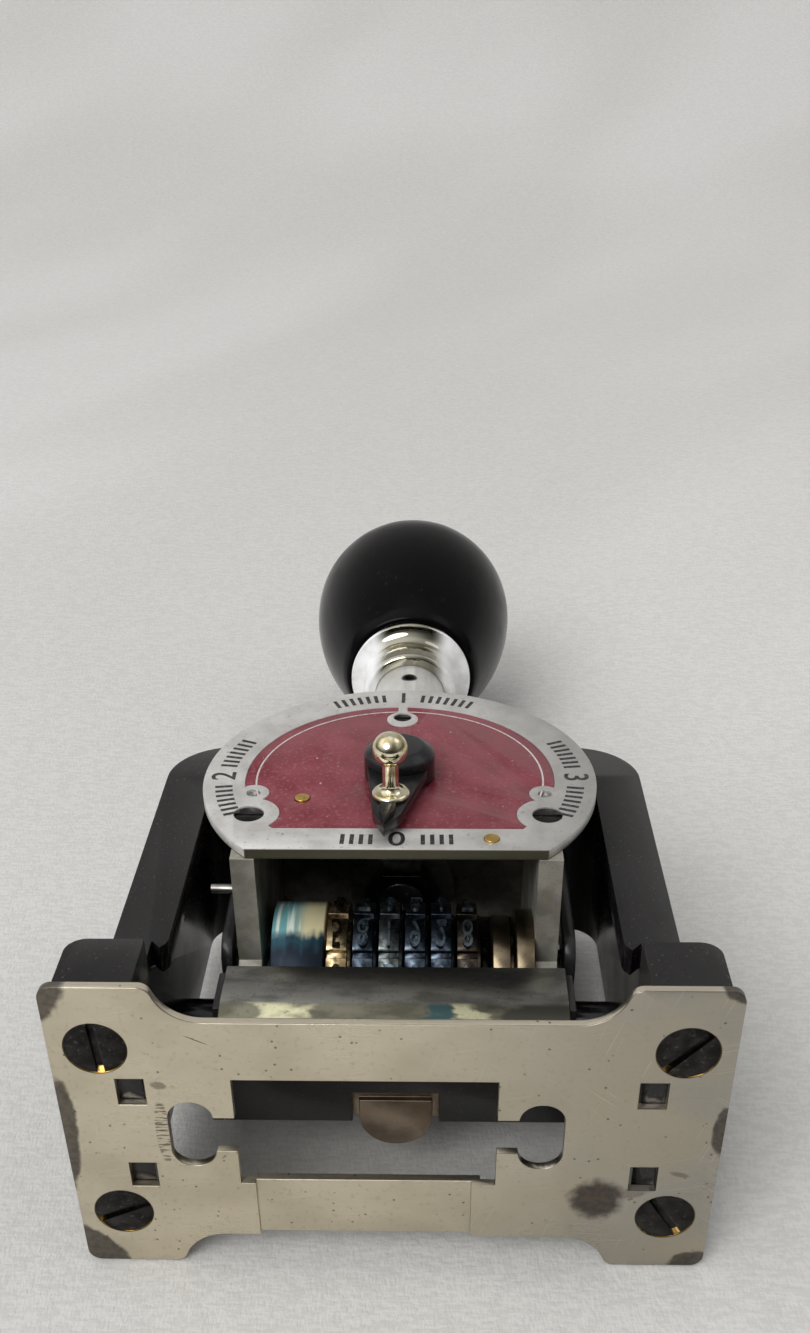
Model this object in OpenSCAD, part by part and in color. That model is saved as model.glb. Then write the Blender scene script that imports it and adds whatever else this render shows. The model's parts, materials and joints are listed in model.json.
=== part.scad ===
// Hand numbering machine: a cast arch frame on a base plate, a head with six figure wheels that
// slides down inside the arch, and a self-inking pad that swings back out of the head's way.
// It stands upright. The plunger runs along Z, the dial faces -Y, and the origin is where the
// plunger's axis meets the underside of the base plate.

/* [Base plate] */
// Width of the base plate, left to right
base_w = 70; // [68:1:76]
// Depth of the base plate over its four ears
base_d = 39.7; // [38.5:0.1:44]
// Depth of the base plate at its waist
waist_d = 30.8; // [28:0.1:33]
// Thickness of the base plate
base_t = 1; // [0.8:0.1:1.6]
// Half width of the waist's straight edge
waist_half_w = 18.8; // [16:0.1:19]
// Where the straight front edge of an ear starts, from the middle
ear_start = 25; // [23.5:0.1:25.4]
// Radius of the outer corners of the ears
ear_corner_r = 1.5; // [0.5:0.1:3]
// Radius of the inner corners of the ears, where the S-curve to the waist starts
ear_inner_r = 1.4; // [0.8:0.1:2.4]
// Left edge of the print window
window_left = -16.58; // [-18:0.01:-14]
// Right edge of the print window
window_right = 11.14; // [10:0.01:12.5]
// Front edge of the print window
window_front = -7.8; // [-9:0.1:-6]
// Rear edge of the print window
window_rear = 7.24; // [6:0.01:7.5]
// Width of the neck of each keyhole
keyhole_neck_w = 4.8; // [3.6:0.1:6]
// Length of the neck of each keyhole
keyhole_neck_l = 2.3; // [1.8:0.1:2.6]
// Length of the head of each keyhole, along X
keyhole_l = 4.8; // [4.7:0.1:5.2]
// Width of the head of each keyhole, along Y
keyhole_w = 9.2; // [8:0.1:10]
// Distance of the square holes from the ends of the base plate
square_hole_inset = 7.9; // [7.4:0.1:8.4]
// Distance of the square holes from the middle, along Y
square_hole_y = 6.05; // [5:0.05:7]
// Width of a square hole
square_hole_w = 3; // [2:0.1:3.4]
// Length of a square hole
square_hole_l = 3.6; // [2:0.1:4]
// Radius of the corners of a keyhole's head
keyhole_corner_r = 2.3; // [1:0.1:2.3]
// How far the rear band's left end lies inside the window's
band_inset_left = 0.6; // [0.3:0.1:2]
// How far the rear band's right end lies inside the window's
band_inset_right = 1.6; // [0.3:0.1:2.5]
// How far the rear band behind the window is stepped up
band_step = 0.6; // [0.3:0.1:0.8]
// Distance of the base screws from the ends of the base plate
screw_inset = 4.95; // [4.7:0.05:5.2]
// Distance of the base screws from the front and rear of the ears
screw_inset_y = 7.92; // [6:0.01:9]
// Radius of a base screw's head
base_screw_head_r = 3.2; // [2.8:0.1:3.4]
// Radius of a base screw's shank
base_screw_r = 1.6; // [1.2:0.1:2]
// Length of a base screw
base_screw_l = 8.4; // [5:0.1:8.6]

/* [Frame] */
// Gap between the end of the base plate and the side of a foot
foot_setback = 0.9; // [0.6:0.1:1.4]
// How far the ends of a foot stand back from the ears of the base plate
foot_end_setback = 1.35; // [0.8:0.05:2.5]
// Height of the top of a foot above the bench
foot_top = 10; // [9.8:0.5:13]
// Radius along the top edges of a foot
foot_round = 2.2; // [1:0.1:3]
// How far the leg stands in from the side of its foot
leg_setback = 2.2; // [1.6:0.1:2.6]
// How far the inner side of a foot stands back from the inner edge of its leg's front face
foot_inner_setback = 0.45; // [0.1:0.05:0.8]
// Height at which the inner lip of a leg's front face ends, above its foot
lip_end = 17.2; // [15:0.1:19]
// Width of a leg's front face
leg_w = 6.3; // [5.6:0.1:6.8]
// Width of a leg behind its front flange
web_w = 4.4; // [4:0.1:5]
// Thickness of the front flange of a leg
flange_t = 3.5; // [2.5:0.1:3.8]
// Front face of the arch, ahead of the plunger
arch_front = 12; // [12:0.1:12.6]
// Rear face of the arch, behind the plunger
arch_rear = 13; // [12.8:0.1:15]
// Height of the underside of the arch's bridge
arch_under = 56; // [55.9:0.1:60]
// Thickness of the arch's bridge
bridge_t = 8.5; // [8:0.1:11]
// Radius of the arch's shoulders, outside
shoulder_r = 8.5; // [6:0.1:8.8]
// Radius of the arch's inner corners
arch_inner_r = 4.5; // [2:0.1:5]
// Radius of the neck above the bridge
neck_r = 9.3; // [8.6:0.1:11]
// Height of the neck above the bridge
neck_h = 21; // [20.6:0.1:24]
// Radius of the fillet at the neck's root
neck_fillet = 2.6; // [1:0.1:2.6]
// Radius of the fillet between a leg and its foot
leg_fillet = 3; // [1:0.1:4]

/* [Screws] */
// Shank radius of the small screws inside
small_screw_r = 1; // [0.8:0.05:1.1]
// Width of the slot in a screw's head
screw_slot = 0.6; // [0.4:0.05:0.8]
// Thickness of the screw heads on the cheeks
cheek_head_t = 0.6; // [0.4:0.05:0.7]
// Head radius of the screws through the cheeks
cheek_head_r = 1.9; // [1.6:0.1:2.1]
// Head radius of the screws in the ends of the wheel shaft
shaft_head_r = 2.9; // [2.4:0.1:3.2]
// Head radius of the pivot screws
pivot_head_r = 2.4; // [2.2:0.1:2.8]
// Head thickness of the pivot screws and the key screw
thick_head_t = 1; // [0.7:0.1:1.4]
// Head radius of the key screw
key_head_r = 1.9; // [1.5:0.1:2.2]

/* [Plunger and handle] */
// How far the head travels down
travel = 18.2; // [17.4:0.1:18.8]
// Radius of the plunger rod
rod_r = 3; // [2.6:0.1:3.2]
// Length of the neck bush
bush_l = 5.6; // [5:0.1:6.4]
// Radius of the nickel stem sleeve
sleeve_r = 5.9; // [5.6:0.05:6.2]
// Wall of the stem sleeve
sleeve_wall = 0.85; // [0.6:0.05:0.95]
// Radius of the small oil hole in the stem sleeve
oil_hole_r = 0.75; // [0.5:0.05:1]
// Height of the chrome ferrule
ferrule_h = 8.1; // [7.5:0.1:9]
// Radius of the ferrule's neck
ferrule_neck_r = 7.8; // [7.2:0.1:8.4]
// Radius of the ferrule's flange
ferrule_r = 10.3; // [9.4:0.1:11]
// Height of the handle
handle_h = 44.4; // [40:0.1:48]
// Largest radius of the handle
handle_r = 17.9; // [15:0.1:20]
// Radius of the foot of the handle
handle_foot_r = 11.2; // [11:0.1:12]
// Wire radius of the main spring
spring_wire_r = 0.5; // [0.35:0.05:0.6]
// Number of turns of the main spring
spring_turns = 13; // [8:1:15]
// Thickness of the rubber bumper washer
bumper_t = 1.3; // [1:0.1:1.3]
// Radius of the bumper washer
bumper_r = 7.5; // [5:0.1:8.5]
// Radius of the key screw's tip
key_r = 0.7; // [0.5:0.05:0.9]
// Depth of the keyway in the rod
key_depth = 0.9; // [0.6:0.05:1.2]
// Height of the rod nut
nut_h = 3.4; // [2.6:0.1:3.6]
// Radius over the corners of the rod nut
nut_r = 5; // [4.4:0.1:5.4]

/* [Head] */
// Width of the head over its two cheeks
head_w = 38; // [37.6:0.1:38.4]
// Thickness of a cheek
cheek_t = 2.8; // [2.6:0.1:3]
// Front edges of the cheeks, ahead of the plunger
head_front = 18.8; // [18.4:0.1:19.2]
// Rear edges of the cheeks, behind the plunger
head_rear = 8; // [7.6:0.1:8.8]
// Height of the undersides of the cheeks
cheek_z = 25; // [24.6:0.1:25.4]
// Radius of the lobe of a cheek around the wheel shaft
lobe_r = 5.2; // [4.6:0.1:5.6]
// Height of the top of the yoke bridge
yoke_top = 54.4; // [54.2:0.1:54.5]
// Thickness of the yoke bridge
yoke_t = 6.4; // [5.6:0.1:6.8]
// Radius of the tie bars between the cheeks
tie_r = 1.6; // [1.2:0.1:1.8]
// Radius of the larger spacer collar
collar_r = 8.4; // [7.8:0.1:9.2]
// Radius of the smaller spacer collar
small_collar_r = 7.6; // [6:0.1:8.4]
// Length of the pin that stands out of the left cheek
pin_l = 3.2; // [2:0.1:3.6]
// Radius of that pin
pin_r = 0.55; // [0.4:0.05:0.7]

/* [Figure wheels] */
// Radius of the printing faces, over the raised figures
print_r = 9.5; // [9.4:0.05:9.7]
// Height of a raised figure
figure_h = 0.45; // [0.3:0.05:0.5]
// Distance from one figure wheel to the next
wheel_pitch = 3.07; // [3:0.01:3.08]
// Gap between neighbouring figure wheels
wheel_gap = 0.27; // [0.2:0.01:0.4]
// Left side of the first figure wheel
wheel_stack_x = -8.3; // [-9:0.1:-8.1]
// Number of figures round a wheel
figure_count = 10; // [8:1:12]
// Width of the slot between two type blocks
slot_w = 0.9; // [0.6:0.1:1.3]
// Depth of the slot between two type blocks
slot_depth = 0.8; // [0.5:0.1:1]
// Radius of the ratchet ring of a figure wheel
ratchet_r = 7.6; // [7:0.1:7.9]
// Thickness of the ratchet ring
ratchet_t = 0.4; // [0.3:0.05:0.6]
// Radius of the wheel shaft
shaft_r = 2; // [1.8:0.05:2.1]
// Radius of the filler drum
drum_r = 9.2; // [8.8:0.05:9.3]

/* [Pawl gear] */
// Thickness of a rocker arm
rocker_t = 0.8; // [0.7:0.05:0.9]
// Radius at which the pawl bar swings round the wheel shaft
rocker_reach = 12.3; // [12.1:0.1:12.5]
// Angle of the pawl bar above the horizontal at rest, in degrees
rocker_rest = 20; // [16:1:22]
// Radius of the pawl bar
pawl_bar_r = 1; // [0.8:0.05:1.1]

/* [Dial] */
// Height of the dial's centre
dial_z = 42; // [41.7:0.1:42.3]
// Radius of the dial plate
dial_r = 24.1; // [23.9:0.1:24.4]
// Thickness of the dial plate
dial_t = 1.2; // [1:0.1:1.4]
// Height of the straight lower edge of the dial plate
dial_chord_z = 25.1; // [24.8:0.1:25.6]
// Radius of the coloured field
field_r = 19; // [18.4:0.1:19.6]
// Height of the lower edge of the coloured field
field_z = 29.8; // [29:0.1:30.4]
// Depth of the coloured field in the dial plate
field_depth = 0.3; // [0.2:0.05:0.4]
// Height of the two lower dial screws
dial_screw_z = 33; // [32:0.1:34]
// Head radius of the two lower dial screws
dial_screw_head_r = 1.75; // [1.5:0.05:1.8]
// Head radius of the top dial screw
top_screw_head_r = 1.15; // [1:0.05:1.4]
// Shank radius of the dial screws
dial_screw_r = 0.8; // [0.6:0.05:0.9]
// Radius of the bare round about each lower dial screw
screw_lobe_r = 3.6; // [3:0.1:4]
// Radius of the bare round about the top dial screw
top_lobe_r = 2.05; // [1.7:0.05:2.6]
// Radius of the bare round about each dowel
dowel_lobe_r = 1.9; // [1.4:0.05:2.4]
// Height of the two dowels beside the field
dowel_z = 37.9; // [37.2:0.1:38.6]
// Radius of a dowel
dowel_r = 0.8; // [0.6:0.05:0.9]
// Radius of the two brass rivets
rivet_r = 0.9; // [0.7:0.05:1]

/* [Selector] */
// Radius of the pointer's hub
hub_r = 4.3; // [3.8:0.1:4.6]
// Length of the pointer from the hub's centre to its tip
pointer_l = 16; // [14.5:0.1:16.5]
// Width of the pointer where its tip begins
pointer_w = 3.2; // [3:0.1:4.4]
// Thickness of the pointer
pointer_t = 1.3; // [1:0.1:1.6]
// Lean of the pointer from straight down at rest, in degrees
pointer_lean = 5; // [0:1:8]
// Distance of the brass knob from the hub's centre
knob_reach = 9; // [8:0.1:9.4]
// Radius of the knob's neck
knob_neck_r = 0.95; // [0.8:0.05:1.2]
// Radius of the knob's flange
knob_flange_r = 2.2; // [1.8:0.05:2.4]
// Radius of the knob's ball
ball_r = 2.05; // [1.7:0.05:2.3]
// Height of the knob above the pointer
knob_h = 8.2; // [7:0.1:9]
// Radius of the selector shaft
selector_shaft_r = 1.8; // [1.5:0.05:1.9]

/* [Inking] */
// Distance of the ink arms' pivot behind the plunger
pivot_y = 10.2; // [10.2:0.1:10.3]
// Height of the ink arms' pivot
pivot_z = 31; // [30.9:0.1:31.4]
// Angle that the ink arms swing through, in degrees
swing = 104.9; // [104:0.1:107]
// Thickness of an ink arm
arm_t = 1.4; // [1:0.1:1.5]
// Radius of the ink arms' pivot screws
pivot_r = 1.5; // [1.2:0.05:1.6]
// Radius of the cam studs
stud_r = 1.5; // [1.2:0.05:1.6]
// Height of the cam studs at rest
stud_z = 33.5; // [33.3:0.1:34]
// Front face of the ink tray, ahead of the plunger
tray_front = 9; // [8.6:0.1:9.2]
// Rear end of the ink tray, behind the plunger
tray_rear = 8.6; // [8:0.1:9]
// Height of the underside of the ink tray
tray_z = 11.2; // [11:0.1:11.6]
// Sheet thickness of the ink tray
tray_t = 0.8; // [0.6:0.1:0.9]
// Height of the lower lip of the tray's front plate
lip_z = 9; // [8.9:0.1:9.6]
// Width of the thumb tab
tab_w = 8.4; // [7:0.1:10]
// Rear end of the thumb tab, behind the plunger
tab_rear = 12.5; // [12:0.1:13]

/* [Clearances] */
// Radial clearance of a shaft that turns or slides in its bore
run_clear = 0.06; // [0.04:0.01:0.09]
// Clearance of a fixed piece in its hole
fit_clear = 0.05; // [0.03:0.01:0.1]
// Gap kept between pieces that move past each other
move_gap = 0.3; // [0.25:0.01:0.34]
// Gap between an ink arm and what lies beside it
arm_gap = 1; // [0.9:0.05:1.1]

/* [Hidden] */
$fn = 64;
hull_fn = 32;
cut = 0.1; // how far a cutting shape runs past the face it cuts

foot_out = base_w/2 - foot_setback;
foot_l = base_d - 2*foot_end_setback;
screw_x = base_w/2 - screw_inset;
screw_y = base_d/2 - screw_inset_y;
square_hole_x = base_w/2 - square_hole_inset;
screw_sunk = 0.1; // how far the base screws' heads lie below the underside
countersink_r = base_screw_head_r + screw_sunk + fit_clear; // at the underside
leg_out = foot_out - leg_setback;
leg_in = leg_out - leg_w;
foot_in = leg_in + foot_inner_setback;
web_in = leg_out - web_w;
arch_top = arch_under + bridge_t;
neck_top = arch_top + neck_h;

wheel_z = travel + print_r;
type_r = print_r - figure_h;
wheel_w = wheel_pitch - wheel_gap;
wheel_count = 6;
stack_right = wheel_stack_x + wheel_count*wheel_pitch - wheel_gap;

cheek_out = head_w/2;
cheek_in = cheek_out - cheek_t;
yoke_under = yoke_top - yoke_t;
cheek_back_top = 9; // where the sloping front of a cheek meets its top, ahead of the plunger
cheek_front_top = yoke_top - 4;
yoke_screw_z = yoke_top - yoke_t/2;
cheek_screw_y = 4; // of the two screws through each cheek, ahead of and behind the plunger
bracket_screw_x = 5; // of the two screws that hold the dial bracket, beside the plunger
dial_screw_l = 3; // how deep the dial's screws and dowels reach behind its plate

bush_z = arch_under + 0.4;
bush_step = 2.2; // height of the narrow lower part of the bush
bush_top = bush_z + bush_l;
bush_narrow_r = rod_r + 1.2;
neck_bore_r = sleeve_r + run_clear;
key_z = bush_z + bush_step + 1.6;
sleeve_z = bush_top + travel + 0.6;
sleeve_in_r = sleeve_r - sleeve_wall;
ferrule_z = neck_top + travel + 0.8;
sleeve_top = ferrule_z + 5;
sleeve_cap = 1.5;
oil_hole_z = neck_top + 14.5;
handle_z = ferrule_z + ferrule_h;
handle_top = handle_z + handle_h;
rod_top = handle_z + 7;
yoke_boss_h = 1.2; // height of the round boss under the yoke bridge
rod_bottom = yoke_under - nut_h - yoke_boss_h;
spring_z = bush_top + 0.1;
spring_top = sleeve_top - sleeve_cap - 0.1;
spring_r = sleeve_in_r - spring_wire_r - 0.2;

comb_turn = 180/figure_count; // the comb's fingers point half a step behind the wheels' tops
comb_z = yoke_under - 7.7;
comb_y = (comb_z - wheel_z)*tan(comb_turn);
tie_places = [[comb_y, comb_z], [-12, yoke_under - 2.4]];
pin_y = -12;
pin_z = cheek_z + 4;

rocker_left = -cheek_in + move_gap;
rocker_right = stack_right + move_gap;
drum_left = rocker_left + rocker_t + move_gap;
drum_right = wheel_stack_x - move_gap;
collar_left = rocker_right + rocker_t + move_gap;
bar_y = rocker_reach*cos(rocker_rest);
bar_z = wheel_z + rocker_reach*sin(rocker_rest);

dial_back = head_front;
dial_front = head_front + dial_t;
bracket_t = 2;
bracket_back = dial_back - bracket_t;
tongue_top = dial_z + 19;
tongue_half_w = 5;
top_screw_z = dial_z + 16;
dial_screw_x = cheek_out - cheek_t/2;
rivet_places = [[-11.6, dial_z - 5.3], [10.9, dial_chord_z + 2.6]];

pointer_back = dial_front + 1.2;
pointer_front = pointer_back + pointer_t;
hub_back = dial_front + 0.3;
hub_front = pointer_front + 1.9;
cam_r = 5.4;
cam_t = 1.3;
cam_front = bracket_back - 0.3;

arm_in = cheek_out + arm_gap;
arm_out = arm_in + arm_t;
boss_face = arm_out + 0.4;
boss_r = 3;
stud_clear = 0.15;
slot_steps = 12;
pad_top = travel - move_gap;
tray_top = travel - 0.6;
tray_floor_top = tray_z + tray_t;
holder_z = tray_floor_top + 0.2;
holder_half_w = arm_in - 1.2 - move_gap;

black_enamel = [0.06, 0.06, 0.065];
nickel = [0.72, 0.70, 0.64];
bright_steel = [0.78, 0.79, 0.80];
blued_steel = [0.14, 0.14, 0.17];
brass_yellow = [0.80, 0.66, 0.34];
crimson = [0.52, 0.13, 0.17];
felt_violet = [0.12, 0.08, 0.20];
black_rubber = [0.10, 0.10, 0.10];

// ---- Shared shapes ----

// A round bar along X from x0 to x1
module x_bar(x0, x1, y, z, r) {
    translate([x0, y, z]) rotate([0, 90, 0]) cylinder(h = x1 - x0, r = r);
}

// A round bar along Y from y0 to y1
module y_bar(y0, y1, x, z, r) {
    translate([x, y0, z]) rotate([-90, 0, 0]) cylinder(h = y1 - y0, r = r);
}

// An outline drawn in Y and Z, thickened along X from x0 to x1
module x_plate(x0, x1) {
    translate([x0, 0, 0]) rotate([90, 0, 90]) linear_extrude(x1 - x0) children();
}

// An outline drawn in X and Z, thickened along Y from y0 to y1
module y_plate(y0, y1) {
    translate([0, y1, 0]) rotate([90, 0, 0]) linear_extrude(y1 - y0) children();
}

// A box between two corners
module box(low, high) {
    translate(low) cube(high - low);
}

// An upright outline with two rounded top corners
module round_top(half_w, z0, z1, r) {
    translate([-half_w, z0]) square([2*half_w, z1 - z0 - r]);
    translate([r - half_w, z0]) square([2*(half_w - r), z1 - z0]);
    for (side = [-1, 1]) translate([side*(half_w - r), z1 - r]) circle(r);
}

// Points of an arc about a centre, from one angle to another
function arc(centre, r, from, to, steps = 12) =
    [for (i = [0:steps]) let (a = from + (to - from)*i/steps)
        [centre[0] + r*cos(a), centre[1] + r*sin(a)]];

// ---- Frame and base ----

// One quarter of the base plate's edge: a rounded ear that runs in an S-curve to the waist
function ear_edge() =
    let (rise = (base_d - waist_d)/2,
        run = ear_start - waist_half_w,
        both_r = (run*run + rise*rise)/(2*rise),
        turn = acos(1 - rise/both_r),
        r = both_r - ear_inner_r,
        corner_r = ear_corner_r)
    concat(
        arc([waist_half_w, waist_d/2 + r], r, -90, turn - 90),
        arc([ear_start, base_d/2 - ear_inner_r], ear_inner_r, 90 + turn, 90, 8),
        arc([base_w/2 - corner_r, base_d/2 - corner_r], corner_r, 90, 0, 6));

module base_outline() {
    quarter = ear_edge();
    last = len(quarter) - 1;
    polygon(concat(
        quarter,
        [for (i = [last:-1:0]) [quarter[i][0], -quarter[i][1]]],
        [for (p = quarter) [-p[0], -p[1]]],
        [for (i = [last:-1:0]) [-quarter[i][0], quarter[i][1]]]));
}

module keyhole(edge, side) {
    middle = edge + side*(keyhole_neck_l + keyhole_l/2);
    half_l = keyhole_l/2;
    half_w = keyhole_w/2;
    inner_l = half_l - keyhole_corner_r;
    inner_w = half_w - keyhole_corner_r;
    translate([min(edge, middle) - cut, -keyhole_neck_w/2])
        square([abs(middle - edge) + 2*cut, keyhole_neck_w]);
    translate([middle, 0]) {
        square([2*half_l, 2*inner_w], center = true);
        square([2*inner_l, 2*half_w], center = true);
        for (x = [-inner_l, inner_l], y = [-inner_w, inner_w])
            translate([x, y]) circle(keyhole_corner_r);
    }
}

module base_plate() color(nickel) {
    band_left = window_left + band_inset_left;
    band_right = window_right - band_inset_right;
    difference() {
        union() {
            linear_extrude(base_t) base_outline();
            box([band_left, window_rear, base_t/2], [band_right, waist_d/2, base_t + band_step]);
        }
        box([band_left + base_t, window_rear - cut, -cut],
            [band_right - base_t, waist_d/2 + cut, band_step]);
        translate([0, 0, -cut]) linear_extrude(base_t + band_step + 2*cut) {
            translate([window_left, window_front])
                square([window_right - window_left, window_rear - window_front]);
            keyhole(window_left, -1);
            keyhole(window_right, 1);
            for (side = [-1, 1], end = [-1, 1])
                translate([side*square_hole_x, end*square_hole_y])
                    square([square_hole_w, square_hole_l], center = true);
        }
        for (side = [-1, 1], end = [-1, 1]) translate([side*screw_x, end*screw_y, -cut])
            cylinder(h = base_t + 2*cut, r1 = countersink_r + cut, r2 = countersink_r - base_t - cut);
    }
}

module slotted_countersunk(turn) {
    slot_deep = 0.5;
    slot_half = 0.4;
    head_h = base_screw_head_r - base_screw_r;
    difference() {
        union() {
            cylinder(h = head_h, r1 = base_screw_head_r, r2 = base_screw_r);
            cylinder(h = base_screw_l, r = base_screw_r);
        }
        rotate(turn) box([-base_screw_head_r, -slot_half, -cut],
            [base_screw_head_r, slot_half, slot_deep]);
    }
}

module base_screws() color(blued_steel) {
    turns = [86, -48, -25, 58]; // how each slot happens to stand
    corners = [[-1, -1], [1, -1], [-1, 1], [1, 1]];
    for (i = [0:3]) translate([corners[i][0]*screw_x, corners[i][1]*screw_y, screw_sunk])
        slotted_countersunk(turns[i]);
}

module leg_cove(end) {
    edge = end < 0 ? -arch_front : arch_rear;
    difference() {
        translate([min(edge, edge + end*leg_fillet), foot_top - cut])
            square([leg_fillet, leg_fillet + cut]);
        translate([edge + end*leg_fillet, foot_top + leg_fillet]) circle(leg_fillet);
    }
}

// A foot is rounded along its outer top edge, and its inner top edge is left square
module foot(side) {
    middle = (foot_in + foot_out)/2;
    y_plate(-foot_l/2, foot_l/2) {
        translate([side*middle, 0])
            round_top((foot_out - foot_in)/2, base_t, foot_top, foot_round);
        translate([min(side*foot_in, side*middle), base_t])
            square([middle - foot_in, foot_top - base_t]);
    }
    for (end = [-1, 1]) x_plate(min(side*leg_out, side*web_in), max(side*leg_out, side*web_in))
        leg_cove(end);
}

module arch_outline(inner_half_w) {
    difference() {
        round_top(leg_out, foot_top - foot_round - 1, arch_top, shoulder_r);
        round_top(inner_half_w, 0, arch_under, arch_inner_r);
    }
}

// What is cut from the front of a leg below the end of its inner lip, which slopes
module lip_relief(side) {
    slope = 1.3;
    corner = 0.8;
    polygon([[side*(leg_in - 1), 0], [side*web_in, 0], [side*web_in, lip_end + slope],
        [side*(leg_in + corner), lip_end], [side*(leg_in + 0.2), lip_end + corner],
        [side*leg_in, lip_end + 2*corner], [side*(leg_in - 1), lip_end + 2*corner]]);
}

module neck_flare() {
    rotate_extrude() difference() {
        translate([neck_r - 1, arch_top - 0.5]) square([neck_fillet + 1, neck_fillet + 0.5]);
        translate([neck_r + neck_fillet, arch_top + neck_fillet]) circle(neck_fillet);
    }
}

module frame() color(black_enamel) difference() {
    root = 0.5; // how far one cast form reaches into the next
    union() {
        y_plate(-arch_front, arch_rear) arch_outline(web_in);
        y_plate(-arch_front, flange_t - arch_front) difference() {
            arch_outline(leg_in);
            for (side = [-1, 1]) lip_relief(side);
        }
        for (side = [-1, 1]) {
            foot(side);
            x_bar(side < 0 ? -web_in - root : boss_face, side < 0 ? -boss_face : web_in + root,
                pivot_y, pivot_z, boss_r);
        }
        translate([0, 0, arch_top - root]) cylinder(h = neck_h + root, r = neck_r);
        neck_flare();
    }
    translate([0, 0, arch_under - cut]) cylinder(h = bridge_t, r = bush_narrow_r + fit_clear);
    translate([0, 0, bush_z + bush_step]) cylinder(h = bridge_t + neck_h, r = neck_bore_r);
    y_bar(0, arch_rear + cut, 0, key_z, key_r + fit_clear);
    for (side = [-1, 1], end = [-1, 1]) translate([side*screw_x, end*screw_y, base_t]) {
        translate([0, 0, -cut]) cylinder(h = base_screw_l, r = base_screw_r + fit_clear);
        translate([0, 0, -cut]) cylinder(h = countersink_r - base_t + cut - base_screw_r - fit_clear,
            r1 = countersink_r - base_t + cut, r2 = base_screw_r + fit_clear);
    }
    for (side = [-1, 1]) {
        x_bar(side < 0 ? -leg_out - 1 : boss_face - 1, side < 0 ? 1 - boss_face : leg_out + 1,
            pivot_y, pivot_z, pivot_r + fit_clear);
        x_bar(side < 0 ? -leg_out - 1 : leg_out - thick_head_t,
            side < 0 ? thick_head_t - leg_out : leg_out + 1,
            pivot_y, pivot_z, pivot_head_r + fit_clear);
    }
}

module neck_bush() color(brass_yellow) difference() {
    union() {
        translate([0, 0, bush_z]) cylinder(h = bush_step, r = bush_narrow_r);
        translate([0, 0, bush_z + bush_step])
            cylinder(h = bush_l - bush_step, r = neck_bore_r - fit_clear);
    }
    translate([0, 0, bush_z - cut]) cylinder(h = bush_l + 2*cut, r = rod_r + run_clear);
    y_bar(0, neck_bore_r + 1, 0, key_z, key_r + fit_clear);
}

module key_screw() color(blued_steel) difference() {
    tip_gap = 0.15; // between the tip and the bottom of the keyway
    head_back = arch_rear + thick_head_t;
    union() {
        y_bar(rod_r - key_depth + tip_gap, arch_rear + cut, 0, key_z, key_r);
        y_bar(arch_rear, head_back, 0, key_z, key_head_r);
    }
    box([-key_head_r, head_back - thick_head_t/2, key_z - screw_slot/2],
        [key_head_r, head_back + 1, key_z + screw_slot/2]);
}

module pivot_screws() color(blued_steel) for (side = [-1, 1]) mirror([side < 0 ? 1 : 0, 0, 0])
    difference() {
        tip = arm_in - 0.4;
        union() {
            x_bar(tip, leg_out - thick_head_t/2, pivot_y, pivot_z, pivot_r);
            x_bar(leg_out - thick_head_t, leg_out, pivot_y, pivot_z, pivot_head_r);
        }
        box([leg_out - thick_head_t/2, pivot_y - pivot_head_r - 1, pivot_z - screw_slot/2],
            [leg_out + 1, pivot_y + pivot_head_r + 1, pivot_z + screw_slot/2]);
    }

// ---- Plunger and handle ----

module plunger_rod() color(bright_steel) difference() {
    end_room = 0.8; // beyond the key screw at both ends of the stroke
    half_w = key_r + 2*run_clear;
    translate([0, 0, rod_bottom]) cylinder(h = rod_top - rod_bottom, r = rod_r);
    box([-half_w, rod_r - key_depth, key_z - key_r - end_room],
        [half_w, rod_r + 1, key_z + travel + key_r + end_room]);
}

module stem_sleeve() color(nickel) difference() {
    translate([0, 0, sleeve_z]) cylinder(h = sleeve_top - sleeve_z, r = sleeve_r);
    translate([0, 0, sleeve_z - cut])
        cylinder(h = sleeve_top - sleeve_cap - sleeve_z + cut, r = sleeve_in_r);
    cylinder(h = sleeve_top + 1, r = rod_r + fit_clear);
    y_bar(-sleeve_r - 1, 0, 0, oil_hole_z, oil_hole_r);
}

module ferrule() color(bright_steel) {
    cove_r = ferrule_r - ferrule_neck_r;
    rim = 1.4;
    edge = 0.5;
    rim_z = handle_z - rim;
    inner = sleeve_r + fit_clear;
    rotate_extrude() polygon(concat(
        [[inner, ferrule_z], [ferrule_neck_r - edge, ferrule_z], [ferrule_neck_r, ferrule_z + edge]],
        arc([ferrule_neck_r + cove_r, rim_z - cove_r], cove_r, 180, 90),
        arc([ferrule_r - rim/2, rim_z + rim/2], rim/2, -90, 90),
        [[rod_r + fit_clear, handle_z], [rod_r + fit_clear, sleeve_top], [inner, sleeve_top]]));
}

// Half outline of the handle: it flares from its foot to its widest place, then closes as an ellipse
function handle_profile() =
    let (flare_h = 0.59*handle_h, // share of the height below the widest place
        dome_h = handle_h - flare_h,
        steps = 20)
    concat(
        [for (i = [0:steps]) let (t = i/steps)
            [handle_foot_r + (handle_r - handle_foot_r)*sin(90*t), handle_z + flare_h*t]],
        [for (i = [1:steps]) let (a = 90*i/steps)
            [handle_r*cos(a), handle_z + flare_h + dome_h*sin(a)]]);

module handle() color(black_enamel) difference() {
    rotate_extrude() polygon(concat([[0, handle_z]], handle_profile()));
    translate([0, 0, handle_z - cut]) cylinder(h = rod_top - handle_z + cut, r = rod_r + fit_clear);
}

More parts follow.
